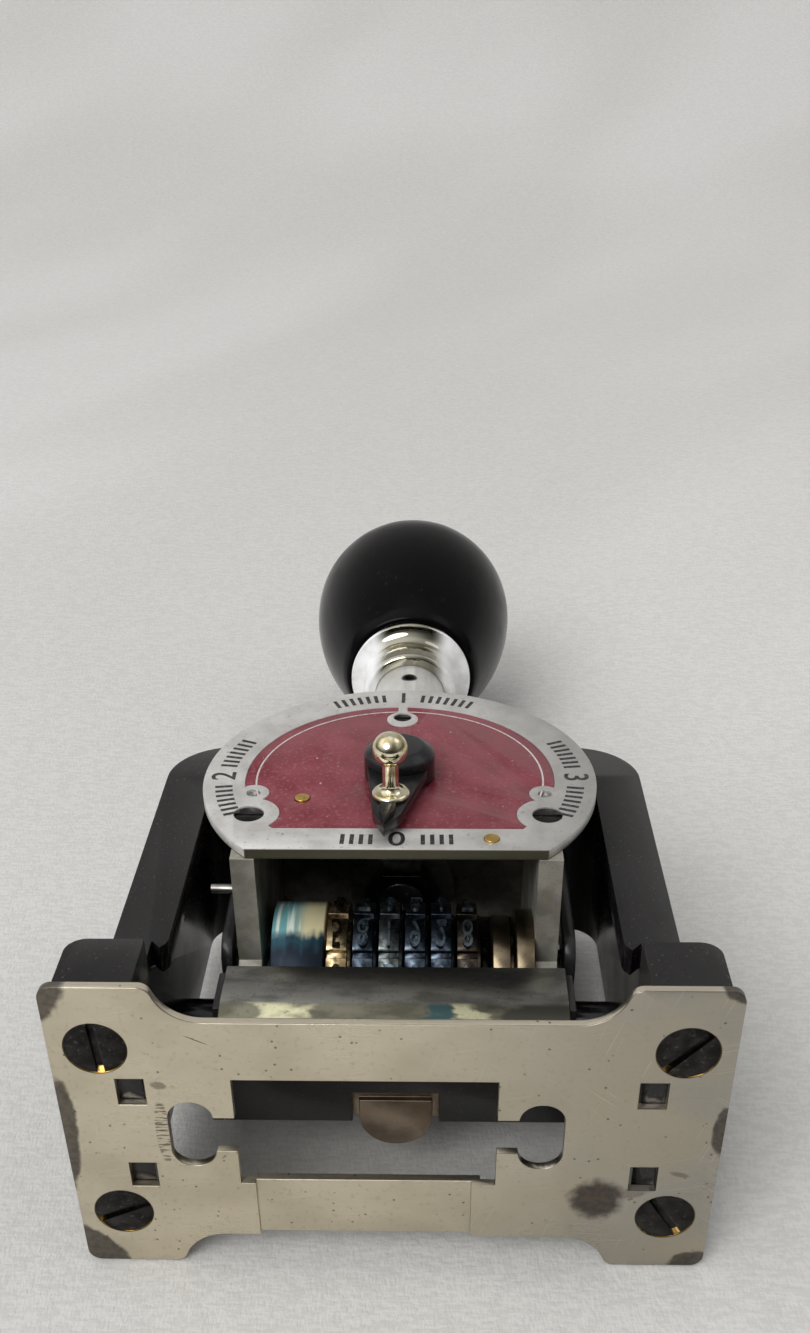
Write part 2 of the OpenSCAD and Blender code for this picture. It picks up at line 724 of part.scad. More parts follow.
// A coil spring, swept as a closed tube of six sides round a helix
module main_spring() color(bright_steel) {
    sides = 6;
    per_turn = 14;
    rings = spring_turns*per_turn;
    rise = (spring_top - spring_z - 2*spring_wire_r)/rings;
    points = [for (i = [0:rings], k = [0:sides - 1])
        let (a = 360*i/per_turn, b = 360*k/sides, r = spring_r + spring_wire_r*cos(b))
        [r*cos(a), r*sin(a), spring_z + spring_wire_r + rise*i + spring_wire_r*sin(b)]];
    faces = concat(
        [[for (k = [0:sides - 1]) k]],
        [for (i = [0:rings - 1], k = [0:sides - 1]) let (n = (k + 1)%sides)
            [i*sides + k, (i + 1)*sides + k, (i + 1)*sides + n, i*sides + n]],
        [[for (k = [sides - 1:-1:0]) rings*sides + k]]);
    polyhedron(points, faces);
}

// ---- Head ----

module yoke_bridge() color(bright_steel) difference() {
    boss = 7;
    screw_deep = 4;
    union() {
        box([-cheek_in, -cheek_back_top, yoke_under], [cheek_in, head_rear, yoke_top]);
        translate([0, 0, yoke_under - yoke_boss_h]) cylinder(h = yoke_t, r = boss);
    }
    translate([0, 0, yoke_under - yoke_boss_h - cut])
        cylinder(h = yoke_t + yoke_boss_h + 2*cut, r = rod_r + fit_clear);
    for (side = [-1, 1], y = [-cheek_screw_y, cheek_screw_y])
        x_bar(side < 0 ? -cheek_in - cut : cheek_in - screw_deep,
            side < 0 ? screw_deep - cheek_in : cheek_in + cut,
            y, yoke_screw_z, small_screw_r + fit_clear);
    for (side = [-1, 1]) y_bar(-cheek_back_top - cut, screw_deep - cheek_back_top,
        side*bracket_screw_x, yoke_screw_z, small_screw_r + fit_clear);
}

module rod_nut() color(blued_steel) difference() {
    nut_top = yoke_under - yoke_boss_h;
    translate([0, 0, nut_top - nut_h]) cylinder(h = nut_h, r = nut_r, $fn = 6);
    translate([0, 0, nut_top - nut_h - cut]) cylinder(h = nut_h + 2*cut, r = rod_r + fit_clear);
}

module bumper_washer() color(black_rubber) difference() {
    translate([0, 0, yoke_top]) cylinder(h = bumper_t, r = bumper_r);
    translate([0, 0, yoke_top - cut]) cylinder(h = bumper_t + 2*cut, r = rod_r + move_gap);
}

// Outline of a cheek in Y and Z, with a round lobe that carries the wheel shaft
module cheek_outline() {
    rear_round = 3;
    polygon(concat(
        [[-head_front, cheek_z], [head_rear - rear_round, cheek_z]],
        arc([head_rear - rear_round, cheek_z + rear_round], rear_round, -90, 0, 8),
        [[head_rear, yoke_top], [-cheek_back_top, yoke_top], [-head_front, cheek_front_top]]));
    translate([0, wheel_z]) circle(lobe_r);
}

module cheek(side) {
    x0 = side < 0 ? -cheek_out : cheek_in;
    x1 = x0 + cheek_t;
    middle = (x0 + x1)/2;
    difference() {
        x_plate(x0, x1) cheek_outline();
        x_bar(x0 - 1, x1 + 1, 0, wheel_z, shaft_r + fit_clear);
        x_bar(x0 - 1, x1 + 1, 0, stud_z, small_screw_r + fit_clear);
        for (y = [-cheek_screw_y, cheek_screw_y])
            x_bar(x0 - 1, x1 + 1, y, yoke_screw_z, small_screw_r + fit_clear);
        for (place = tie_places)
            x_bar(x0 - 1, x1 + 1, place[0], place[1], small_screw_r + fit_clear);
        y_bar(-head_front - 1, dial_screw_l - head_front, middle, dial_screw_z,
            dial_screw_r + fit_clear);
        y_bar(-head_front - 1, dial_screw_l - head_front, middle, dowel_z, dowel_r + fit_clear);
        if (side < 0) x_bar(x0 - 1, x1 + 1, pin_y, pin_z, pin_r + fit_clear);
    }
}

module left_cheek() color(nickel) cheek(-1);

module right_cheek() color(nickel) cheek(1);

module cheek_screws() color(blued_steel) for (side = [-1, 1], y = [-cheek_screw_y, cheek_screw_y])
    mirror([side < 0 ? 1 : 0, 0, 0]) {
        thread_l = 3.5;
        x_bar(cheek_in - thread_l, cheek_out + cut, y, yoke_screw_z, small_screw_r);
        x_bar(cheek_out, cheek_out + cheek_head_t, y, yoke_screw_z, cheek_head_r);
    }

module tie_bars() color(bright_steel) for (place = tie_places) {
    x_bar(-cheek_in, cheek_in, place[0], place[1], tie_r);
    x_bar(-cheek_out, cheek_out, place[0], place[1], small_screw_r);
}

module wheel_shaft() color(bright_steel) {
    x_bar(-cheek_out, cheek_out, 0, wheel_z, shaft_r);
}

module shaft_screws() color(blued_steel) for (side = [-1, 1]) mirror([side < 0 ? 1 : 0, 0, 0])
    difference() {
        x_bar(cheek_out, cheek_out + cheek_head_t, 0, wheel_z, shaft_head_r);
        box([cheek_out + cheek_head_t/2, -shaft_head_r - 1, wheel_z - screw_slot/2],
            [cheek_out + 1, shaft_head_r + 1, wheel_z + screw_slot/2]);
    }

module filler_drum() color(bright_steel) difference() {
    x_bar(drum_left, drum_right, 0, wheel_z, drum_r);
    x_bar(drum_left - 1, drum_right + 1, 0, wheel_z, shaft_r + fit_clear);
}

// Two stepped collars that fill the shaft on the right of the wheels
module spacer_collars() color(bright_steel) difference() {
    middle = (collar_left + cheek_in)/2;
    groove = 0.3; // half the width of the groove between the two
    groove_r = 5;
    union() {
        x_bar(collar_left, middle - groove, 0, wheel_z, small_collar_r);
        x_bar(middle - groove, middle + groove, 0, wheel_z, groove_r);
        x_bar(middle + groove, cheek_in, 0, wheel_z, collar_r);
    }
    x_bar(collar_left - 1, cheek_in + 1, 0, wheel_z, shaft_r + fit_clear);
}

// A bar on the rear tie bar with one finger that points at each figure wheel's slots
module detent_comb() color(blued_steel) difference() {
    half = tie_r + 0.9;
    end_room = 1; // between the comb's ends and the cheeks
    finger_w = 1.4;
    finger_t = 0.8;
    finger_tip = print_r + move_gap;
    finger_root = (comb_z - wheel_z)/cos(comb_turn) - tie_r;
    union() {
        box([end_room - cheek_in, comb_y - half, comb_z - half],
            [cheek_in - end_room, comb_y + half, comb_z + half]);
        for (i = [0:wheel_count - 1])
            translate([wheel_stack_x + i*wheel_pitch + (wheel_w - finger_w)/2, 0, wheel_z])
                rotate([-comb_turn, 0, 0])
                    box([0, -finger_t/2, finger_tip], [finger_w, finger_t/2, finger_root]);
    }
    x_bar(-cheek_in, cheek_in, comb_y, comb_z, tie_r + fit_clear);
}

module cam_studs() color(bright_steel) for (side = [-1, 1]) mirror([side < 0 ? 1 : 0, 0, 0]) {
    x_bar(cheek_in, cheek_out + cut, 0, stud_z, small_screw_r);
    x_bar(cheek_out, arm_out, 0, stud_z, stud_r);
}

module cheek_pin() color(bright_steel) {
    x_bar(-cheek_out - pin_l, -cheek_in, pin_y, pin_z, pin_r);
}

// ---- Dial ----

// Side, height and head radius of each dial screw
dial_screws_at = [[-dial_screw_x, dial_screw_z, dial_screw_head_r],
    [dial_screw_x, dial_screw_z, dial_screw_head_r], [0, top_screw_z, top_screw_head_r]];

// The bracket behind the dial plate carries the selector shaft and the top dial screw
module dial_bracket() color(bright_steel) difference() {
    lower_edge = dial_z - 6;
    upper_edge = cheek_front_top - 1;
    block_half_w = 8;
    block_z = yoke_under + 0.5;
    block_top = yoke_top - 0.4;
    union() {
        box([-cheek_in, -dial_back, lower_edge], [cheek_in, -bracket_back, upper_edge]);
        box([-tongue_half_w, -dial_back, dial_z], [tongue_half_w, -bracket_back, tongue_top]);
        box([-block_half_w, -bracket_back - cut, block_z], [block_half_w, -cheek_back_top, block_top]);
    }
    y_bar(-dial_back - 1, -bracket_back + 1, 0, dial_z, selector_shaft_r + run_clear);
    y_bar(-dial_back - 1, -bracket_back + 1, 0, top_screw_z, dial_screw_r + fit_clear);
    for (place = rivet_places)
        y_bar(-dial_back - 1, -bracket_back + 1, place[0], place[1], rivet_r + fit_clear);
    for (side = [-1, 1]) {
        y_bar(-dial_back - 1, -cheek_back_top + 1, side*bracket_screw_x, yoke_screw_z,
            small_screw_r + fit_clear);
        y_bar(-dial_back - 1, bracket_head_back, side*bracket_screw_x, yoke_screw_z,
            cheek_head_r + fit_clear);
    }
}

bracket_head_back = -dial_back + 2.5; // rear of the sunk heads of the bracket's screws

module bracket_screws() color(blued_steel) for (side = [-1, 1]) {
    head_t = 1.5;
    thread_l = 3;
    y_bar(bracket_head_back - head_t, bracket_head_back, side*bracket_screw_x, yoke_screw_z,
        cheek_head_r);
    y_bar(bracket_head_back, thread_l - cheek_back_top, side*bracket_screw_x, yoke_screw_z,
        small_screw_r);
}

// Outline of the coloured field: a round with a straight lower edge, cut back round each fixing
module field_outline(gap = 0) {
    bridge_half_w = 0.6; // of the bare strip between the rim and the top screw
    top_lobe_z = top_screw_z - 0.6;
    difference() {
        translate([0, dial_z]) circle(field_r - gap);
        translate([-dial_r, field_z + gap - dial_r]) square([2*dial_r, dial_r]);
        for (side = [-1, 1]) {
            translate([side*dial_screw_x, dial_screw_z]) circle(screw_lobe_r + gap);
            translate([side*dial_screw_x, dowel_z]) circle(dowel_lobe_r + gap);
        }
        translate([0, top_lobe_z]) circle(top_lobe_r + gap);
        translate([-bridge_half_w - gap, top_lobe_z]) square([2*(bridge_half_w + gap), dial_r]);
    }
}

module dial_plate() color(nickel) difference() {
    y_plate(-dial_front, -dial_back) difference() {
        translate([0, dial_z]) circle(dial_r);
        translate([-dial_r, dial_chord_z - dial_r]) square([2*dial_r, dial_r]);
    }
    y_plate(-dial_front - 1, -dial_front + field_depth) field_outline();
    y_bar(-dial_front - 1, -dial_back + 1, 0, dial_z, selector_shaft_r + dial_hole_gap);
    for (screw = dial_screws_at) {
        y_bar(-dial_front - 1, dial_head_back, screw[0], screw[1], screw[2] + fit_clear);
        y_bar(-dial_front - 1, -dial_back + 1, screw[0], screw[1], dial_screw_r + fit_clear);
    }
    for (side = [-1, 1])
        y_bar(-dial_front - 1, -dial_back + 1, side*dial_screw_x, dowel_z, dowel_r + fit_clear);
    for (place = rivet_places)
        y_bar(-dial_front - 1, -dial_back + 1, place[0], place[1], rivet_r + fit_clear);
}

dial_head_back = 0.7 - dial_front; // rear of the sunk heads of the dial's screws
dial_hole_gap = 0.15; // between the selector shaft and the dial plate

module dial_field() color(crimson) difference() {
    y_plate(-dial_front + 0.05, -dial_front + field_depth) field_outline(fit_clear);
    y_bar(-dial_front - 1, -dial_back, 0, dial_z, selector_shaft_r + dial_hole_gap + fit_clear);
    y_bar(-dial_front - 1, -dial_back, rivet_places[0][0], rivet_places[0][1], rivet_r + 2*fit_clear);
}

module dial_screws() color(blued_steel) for (screw = dial_screws_at) difference() {
    head_front_y = 0.15 - dial_front;
    slot_deep = 0.25;
    slot_half = 0.25;
    union() {
        y_bar(head_front_y, dial_head_back, screw[0], screw[1], screw[2]);
        y_bar(dial_head_back - cut, dial_screw_l - head_front, screw[0], screw[1], dial_screw_r);
    }
    box([screw[0] - screw[2], head_front_y - 1, screw[1] - slot_half],
        [screw[0] + screw[2], head_front_y + slot_deep, screw[1] + slot_half]);
}

module dial_dowels() color(nickel) for (side = [-1, 1]) {
    sunk = 0.3; // below the face of the dial
    y_bar(sunk - dial_front, dial_screw_l - fit_clear - head_front, side*dial_screw_x, dowel_z,
        dowel_r);
}

// The upper rivet holds the plate to the bracket. The lower one only fills its hole.
module dial_rivets() color(brass_yellow) {
    proud = 0.15; // of the face of the dial
    y_bar(-dial_front - proud, -bracket_back, rivet_places[0][0], rivet_places[0][1], rivet_r);
    y_bar(-dial_front - proud, -dial_back, rivet_places[1][0], rivet_places[1][1], rivet_r);
}

// ---- Figure wheels ----

// A wheel with a type block for each figure and a ratchet ring on its right side
module number_wheel(index) {
    left = wheel_stack_x + index*wheel_pitch;
    right = left + wheel_w;
    step = 360/figure_count;
    difference() {
        union() {
            x_bar(left, right - ratchet_t, 0, wheel_z, type_r);
            x_bar(left, right, 0, wheel_z, ratchet_r);
        }
        for (i = [0:figure_count - 1])
            translate([0, 0, wheel_z]) rotate([step*(i + 0.5), 0, 0])
                box([left - 1, -slot_w/2, type_r - slot_depth],
                    [right + 1, slot_w/2, type_r + 1]);
        x_bar(left - 1, right + 1, 0, wheel_z, shaft_r + run_clear);
    }
}

module number_wheel_1() color(bright_steel) number_wheel(0);

module number_wheel_2() color(bright_steel) number_wheel(1);

module number_wheel_3() color(bright_steel) number_wheel(2);

module number_wheel_4() color(bright_steel) number_wheel(3);

module number_wheel_5() color(bright_steel) number_wheel(4);

module number_wheel_6() color(bright_steel) number_wheel(5);

// ---- Pawl gear ----

module rocker_arm(x0) {
    hub = shaft_r + 1.6;
    eye = pawl_bar_r + 0.7;
    difference() {
        x_plate(x0, x0 + rocker_t) hull() {
            translate([0, wheel_z]) circle(hub, $fn = hull_fn);
            translate([bar_y, bar_z]) circle(eye, $fn = hull_fn);
        }
        x_bar(x0 - 1, x0 + rocker_t + 1, 0, wheel_z, shaft_r + run_clear);
        x_bar(x0 - 1, x0 + rocker_t + 1, bar_y, bar_z, pawl_bar_r + fit_clear);
    }
}

module pawl_rocker() color(blued_steel) {
    rocker_arm(rocker_left);
    rocker_arm(rocker_right);
    x_bar(rocker_left, rocker_right + rocker_t, bar_y, bar_z, pawl_bar_r + fit_clear);
}

// The feed pawl: a sleeve on the pawl bar with one tooth behind each figure wheel
module feed_pawl() color(bright_steel) translate([0, bar_y, bar_z]) rotate([rocker_rest, 0, 0])
    difference() {
        tooth_reach = rocker_reach - type_r - move_gap;
        tooth_t = 1;
        sleeve = pawl_bar_r + 0.6;
        union() {
            x_bar(wheel_stack_x - move_gap, stack_right, 0, 0, sleeve);
            for (i = [0:wheel_count - 1]) translate([wheel_stack_x + i*wheel_pitch, 0, 0])
                box([wheel_gap, -tooth_reach, -tooth_t/2], [wheel_w - 2*wheel_gap, 0, tooth_t/2]);
        }
        x_bar(wheel_stack_x - 1, stack_right + 1, 0, 0, pawl_bar_r + 2*fit_clear);
    }

// ---- Selector ----

// Places its children as the pointer stands: built pointing straight down from the hub's centre
module at_pointer() {
    translate([0, 0, dial_z]) rotate([0, pointer_lean, 0]) children();
}

module indicator_hub() color(black_enamel) {
    dome = 0.9;
    crown_r = hub_r - 1.3;
    translate([0, -hub_back, dial_z]) rotate([90, 0, 0]) {
        cylinder(h = hub_front - hub_back - dome, r = hub_r);
        translate([0, 0, hub_front - hub_back - dome]) cylinder(h = dome, r1 = hub_r, r2 = crown_r);
    }
    y_bar(-hub_back - cut, -cam_front + cam_t, 0, dial_z, selector_shaft_r);
}

// A leaf that narrows from the hub to a pointed tip, with a raised ridge along it
module pointer() color(black_enamel) at_pointer() difference() {
    tip_l = 3; // length of the pointed end
    root_half_w = hub_r - 0.5;
    root_z = -1.5; // the leaf's wide end, below the hub's centre
    ridge = 0.6;
    ridge_half_w = 0.9;
    ridge_z = knob_flange_r + 0.2;
    neck = knob_neck_r - fit_clear;
    union() {
        y_plate(-pointer_front, -pointer_back) polygon([
            [-root_half_w, root_z], [root_half_w, root_z], [pointer_w/2, tip_l - pointer_l],
            [0, -pointer_l], [-pointer_w/2, tip_l - pointer_l]]);
        y_plate(-pointer_front - ridge, -pointer_front + cut) polygon([
            [-ridge_half_w, -knob_reach - ridge_z], [ridge_half_w, -knob_reach - ridge_z],
            [ridge_half_w, tip_l - pointer_l], [0, ridge - pointer_l],
            [-ridge_half_w, tip_l - pointer_l]]);
    }
    y_bar(-pointer_front - 2, -pointer_back + 1, 0, 0, hub_r + fit_clear);
    y_bar(-pointer_front - 1, -pointer_back + 1, 0, -knob_reach, neck + fit_clear);
}

// Turned brass knob: a flange on the pointer, a slim neck and a ball
module indicator_knob() color(brass_yellow) at_pointer() translate([0, 0, -knob_reach]) {
    flange_h = 0.7;
    bevel = 0.2;
    root = 1; // radius of the fillet at the neck's root
    ball_z = knob_h - ball_r;
    join = asin(knob_neck_r/ball_r) - 90;
    translate([0, -pointer_front, 0]) rotate([90, 0, 0]) rotate_extrude() polygon(concat(
        [[0, 0], [knob_flange_r - bevel, 0], [knob_flange_r, bevel],
            [knob_flange_r, flange_h - bevel], [knob_flange_r - bevel, flange_h]],
        arc([knob_neck_r + root, flange_h + root], root, -90, -180, 6),
        arc([0, ball_z], ball_r, join, 90, 20)));
    y_bar(-pointer_front - cut, -pointer_back, 0, 0, knob_neck_r - fit_clear);
}

// A disc with a rounded notch for each place of the pointer
module selector_cam() color(bright_steel) difference() {
    notch_r = 1.6;
    notch_reach = cam_r + 0.6;
    y_bar(-cam_front, -cam_front + cam_t, 0, dial_z, cam_r);
    y_bar(-cam_front - 1, -cam_front + cam_t + 1, 0, dial_z, selector_shaft_r + fit_clear);
    for (turn = [0:90:270]) translate([0, 0, dial_z]) rotate([0, turn + pointer_lean, 0])
        y_bar(-cam_front - 1, -cam_front + cam_t + 1, 0, -notch_reach, notch_r);
}

// ---- Inking ----

// Where a cam stud lies in the frame of an ink arm when the head has come down by d
function slot_point(d) =
    let (turn = swing*d/travel, y = -pivot_y, z = stud_z - d - pivot_z)
    [pivot_y + y*cos(turn) + z*sin(turn), pivot_z - y*sin(turn) + z*cos(turn)];

// Direction of a path at one of its points, in degrees, and a point beside it at a distance
function heading(path, i) =
    let (step = path[min(i + 1, len(path) - 1)] - path[max(i - 1, 0)]) atan2(step[1], step[0]);
function beside(path, i, distance) =
    let (a = heading(path, i) + 90) path[i] + distance*[cos(a), sin(a)];

// The slot follows the stud's path. The stud hardly moves in it at first, so a round pocket holds
// that share of the stroke, and the rest is a curved channel with a round end.
module cam_slot() {
    r = stud_r + stud_clear;
    dwell = 0.3;
    first = slot_point(travel/8);
    last = slot_point(travel*dwell);
    path = [for (i = [0:slot_steps]) slot_point(travel*(dwell + (1 - dwell)*i/slot_steps))];
    end = heading(path, slot_steps);
    translate((first + last)/2) circle(r + norm(last - first)/2);
    polygon(concat(
        [for (i = [0:slot_steps - 1]) beside(path, i, -r)],
        arc(path[slot_steps], r, end - 90, end + 90),
        [for (i = [slot_steps - 1:-1:0]) beside(path, i, r)]));
}

module arm_outline() {
    low = slot_point(0);
    high = slot_point(travel);
    rim = stud_r + 1.9;
    boss = pivot_r + 2.5;
    foot_front = 2.7;
    hull() {
        translate([pivot_y, pivot_z]) circle(boss, $fn = hull_fn);
        translate([low[0] - 2.4, low[1] - 4]) circle(rim, $fn = hull_fn);
        translate([high[0] - 0.4, high[1] + 0.4]) circle(rim, $fn = hull_fn);
    }
    hull() {
        translate([pivot_y, pivot_z]) circle(boss - 0.5, $fn = hull_fn);
        translate([foot_front, tray_z]) square([tray_rear - foot_front, tray_top - tray_z - 1]);
    }
}

module ink_arm(side) {
    x0 = side < 0 ? -arm_out : arm_in;
    difference() {
        x_plate(x0, x0 + arm_t) difference() {
            arm_outline();
            cam_slot();
        }
        x_bar(x0 - 1, x0 + arm_t + 1, pivot_y, pivot_z, pivot_r + run_clear);
    }
}

module left_ink_arm() color(black_enamel) ink_arm(-1);

module right_ink_arm() color(black_enamel) ink_arm(1);

// Sheet tray between the arms, with a notch in its floor for the thumb tab
module ink_tray() color(black_enamel) difference() {
    notch_front = 4.2;
    box([-arm_in, -tray_front + tray_t, tray_z], [arm_in, tray_rear, tray_top]);
    box([-holder_half_w - move_gap, -tray_front, tray_floor_top],
        [holder_half_w + move_gap, tray_rear + 1, tray_top + 1]);
    box([-tab_w/2 - tray_t, notch_front, tray_z - 1], [tab_w/2 + tray_t, tray_rear + 1, tray_top]);
}

// Nickel plate on the front of the tray, with a lip that slopes back under it
module tray_front_plate() color(nickel) {
    half_w = arm_in - 0.8;
    plate_top = tray_top + 0.3;
    lip_y = 1.25*tray_t - tray_front;
    x_plate(-half_w, half_w) polygon([
        [-tray_front, plate_top], [-tray_front, tray_z], [lip_y, lip_z], [lip_y + tray_t, lip_z],
        [tray_t - tray_front, tray_z], [tray_t - tray_front, plate_top]]);
}

module pad_holder() color(nickel) difference() {
    front = -tray_front + tray_t + move_gap;
    wall = 0.7;
    tab_z = tray_z + 0.3;
    tab_top = holder_z + 0.4;
    tab_root = 3; // how far the tab reaches under the holder
    union() {
        box([-holder_half_w, front, holder_z], [holder_half_w, tray_rear, tray_top - 0.2]);
        box([-tab_w/2, tray_rear - tab_root, tab_z], [tab_w/2, tab_rear - tab_w/2, tab_top]);
        translate([0, tab_rear - tab_w/2, tab_z]) intersection() {
            cylinder(h = tab_top - tab_z, r = tab_w/2);
            box([-tab_w, 0, 0], [tab_w, tab_w, tab_w]);
        }
    }
    box([wall - holder_half_w, front + wall, holder_z + wall],
        [holder_half_w - wall, tray_rear - wall, tray_top + 1]);
}

module felt_pad() color(felt_violet) {
    front = -tray_front + tray_t + move_gap;
    inset = 1;
    floor_t = 0.7;
    box([inset - holder_half_w, front + inset, holder_z + floor_t],
        [holder_half_w - inset, tray_rear - inset, pad_top]);
}

frame();
base_plate();
base_screws();
neck_bush();
key_screw();
pivot_screws();
plunger_rod();
stem_sleeve();
ferrule();
handle();
main_spring();
yoke_bridge();
rod_nut();
bumper_washer();
left_cheek();
right_cheek();
cheek_screws();
tie_bars();
wheel_shaft();
shaft_screws();
filler_drum();
spacer_collars();
detent_comb();
cam_studs();
cheek_pin();
dial_bracket();
bracket_screws();
dial_plate();
dial_field();
dial_screws();
dial_dowels();
dial_rivets();
number_wheel_1();
number_wheel_2();
number_wheel_3();
number_wheel_4();
number_wheel_5();
number_wheel_6();
pawl_rocker();
feed_pawl();
indicator_hub();
pointer();
indicator_knob();
selector_cam();
left_ink_arm();
right_ink_arm();
ink_tray();
tray_front_plate();
pad_holder();
felt_pad();
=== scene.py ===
import json
import math

import bpy
import bmesh
from mathutils import Euler, Matrix, Vector

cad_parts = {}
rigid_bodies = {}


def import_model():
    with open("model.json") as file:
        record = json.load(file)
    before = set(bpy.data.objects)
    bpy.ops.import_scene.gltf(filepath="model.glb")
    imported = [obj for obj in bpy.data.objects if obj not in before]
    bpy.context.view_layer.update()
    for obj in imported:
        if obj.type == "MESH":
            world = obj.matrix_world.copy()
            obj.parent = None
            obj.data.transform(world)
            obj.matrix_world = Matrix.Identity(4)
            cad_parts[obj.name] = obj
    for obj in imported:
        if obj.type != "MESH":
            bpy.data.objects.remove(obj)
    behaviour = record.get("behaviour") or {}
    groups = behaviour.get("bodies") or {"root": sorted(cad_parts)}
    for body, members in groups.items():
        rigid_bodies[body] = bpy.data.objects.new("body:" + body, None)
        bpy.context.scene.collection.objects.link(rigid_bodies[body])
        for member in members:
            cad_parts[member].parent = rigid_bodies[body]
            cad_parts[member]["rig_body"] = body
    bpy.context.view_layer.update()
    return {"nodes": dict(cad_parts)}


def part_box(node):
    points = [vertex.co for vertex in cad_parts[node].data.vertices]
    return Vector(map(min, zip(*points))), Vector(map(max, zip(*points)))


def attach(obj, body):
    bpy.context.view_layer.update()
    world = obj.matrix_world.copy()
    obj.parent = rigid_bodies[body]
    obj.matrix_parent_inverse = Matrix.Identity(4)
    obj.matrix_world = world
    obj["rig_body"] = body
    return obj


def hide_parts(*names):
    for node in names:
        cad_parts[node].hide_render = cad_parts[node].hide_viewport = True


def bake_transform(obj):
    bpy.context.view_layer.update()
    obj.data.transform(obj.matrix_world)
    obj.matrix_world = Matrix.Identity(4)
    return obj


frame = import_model()
scene = bpy.context.scene
scene.view_settings.view_transform = "Standard"


# ---- Camera ------------------------------------------------------------------------------------
# A long phone lens held low in front of the base plate, looking up along the machine. The
# machine stands upright in this file, so the camera is the one that lies on its back.
def linked(name, data):
    """A new object of the scene, made of this data."""
    made = bpy.data.objects.new(name, data)
    scene.collection.objects.link(made)
    return made


picture_rows = 1333
focal_rows = 1351.67
centre_row = 900
camera_place = (0.004432, -0.102188, -0.103633)
camera_turns = (145.3411, -1.2233, 0.4661)
lens = bpy.data.cameras.new("camera")
lens.sensor_fit = "VERTICAL"
lens.sensor_height = 36.0
lens.lens = lens.sensor_height * focal_rows / picture_rows
lens.shift_y = (centre_row - picture_rows / 2) / picture_rows
lens.clip_start = 0.001
camera = linked("camera", lens)
camera.matrix_world = Matrix.LocRotScale(camera_place, Euler(map(math.radians, camera_turns)), None)
scene.camera = camera


# ---- Cloth backdrop and bench ------------------------------------------------------------------
# A sheet of pale satin cloth that the machine lies back on, and that rises in a slow sweep far
# behind its handle, and a plain bench under the base for the views from above. Both are clear
# from their far side. The cloth passes a quarter of the lamps' light, the bench all of it.
class Wire:
    """One socket of a finish. Sums on wires add Math nodes, and node() adds any other kind."""

    def __init__(self, tree, socket):
        self.tree, self.socket = tree, socket

    def feed(self, socket, value):
        if isinstance(value, Wire):
            self.tree.links.new(value.socket, socket)
        elif value is not None:
            socket.default_value = value

    def node(self, kind, settings=None, sockets=None, out=0):
        made = self.tree.nodes.new(kind)
        for name, value in (settings or {}).items():
            setattr(made, name, value)
        for name, value in (sockets or {}).items():
            self.feed(made.inputs[name], value)
        return Wire(self.tree, made.outputs[out])

    def math(self, operation, *others):
        return self.node("ShaderNodeMath", {"operation": operation}, dict(enumerate((self,) + others)))

    def __add__(self, other):
        return self.math("ADD", other)

    def __sub__(self, other):
        return self.math("SUBTRACT", other)

    def __rsub__(self, other):
        return self.math("MULTIPLY_ADD", -1.0, other)

    def __mul__(self, other):
        return self.math("MULTIPLY", other)

    def __truediv__(self, other):
        return self.math("DIVIDE", other)

    __radd__ = __add__
    __rmul__ = __mul__


def tone(red, green, blue):
    """A screen colour, 0 to 255, as the light that it stands for."""
    spread = [v / 255 for v in (red, green, blue)]
    return tuple(v / 12.92 if v < 0.04 else ((v + 0.055) / 1.055) ** 2.4 for v in spread) + (1.0,)


def ease(wire, low, high):
    """Nought below low, one above high, and a smooth change between."""
    return wire.node("ShaderNodeMapRange", {"interpolation_type": "SMOOTHSTEP"},
                     {"Value": wire, "From Min": low, "From Max": high})


def blend(share, first, second):
    """first where share is nought, second where it is one."""
    return share.node("ShaderNodeMix", {"data_type": "RGBA"}, {0: share, 6: first, 7: second}, out=2)


def grain(place, size, detail=2.0, stretch=(1, 1, 1), shift=(0, 0, 0), rough=0.5):
    """Soft cloudy noise whose patches are about size millimetres, drawn out along an axis."""
    laid = place.node("ShaderNodeMapping", None,
                      {"Vector": place, "Scale": tuple(1 / s for s in stretch), "Location": shift})
    return place.node("ShaderNodeTexNoise", None,
                      {"Vector": laid, "Scale": 1 / size, "Detail": detail, "Roughness": rough})


def finish(name, colour, roughness, metal=0.0, **fixed):
    """A new finish: its material, its shader, and where a point is, in millimetres."""
    material = bpy.data.materials.new(name)
    material.use_nodes = True
    tree = material.node_tree
    shader = tree.nodes["Principled BSDF"]
    for socket, value in {"Base Color": colour, "Roughness": roughness, "Metallic": metal}.items():
        shader.inputs[socket].default_value = value
    for socket, value in fixed.items():
        shader.inputs[socket.replace("_", " ")].default_value = value
    metres = Wire(tree, tree.nodes.new("ShaderNodeTexCoord").outputs["Object"])
    place = metres.node("ShaderNodeVectorMath", {"operation": "SCALE"}, {0: metres, "Scale": 1000.0})
    return material, shader, place


def apart(place):
    """The three distances of a place, in millimetres."""
    split = place.node("ShaderNodeSeparateXYZ", None, {0: place}).socket.node
    return [Wire(place.tree, distance) for distance in split.outputs]


def dent(shader, height, depth, distance=0.00005):
    """Raises and sinks a finish by a height pattern."""
    height.feed(shader.inputs["Normal"], height.node("ShaderNodeBump", None, {
        "Strength": depth, "Distance": distance, "Height": height}))


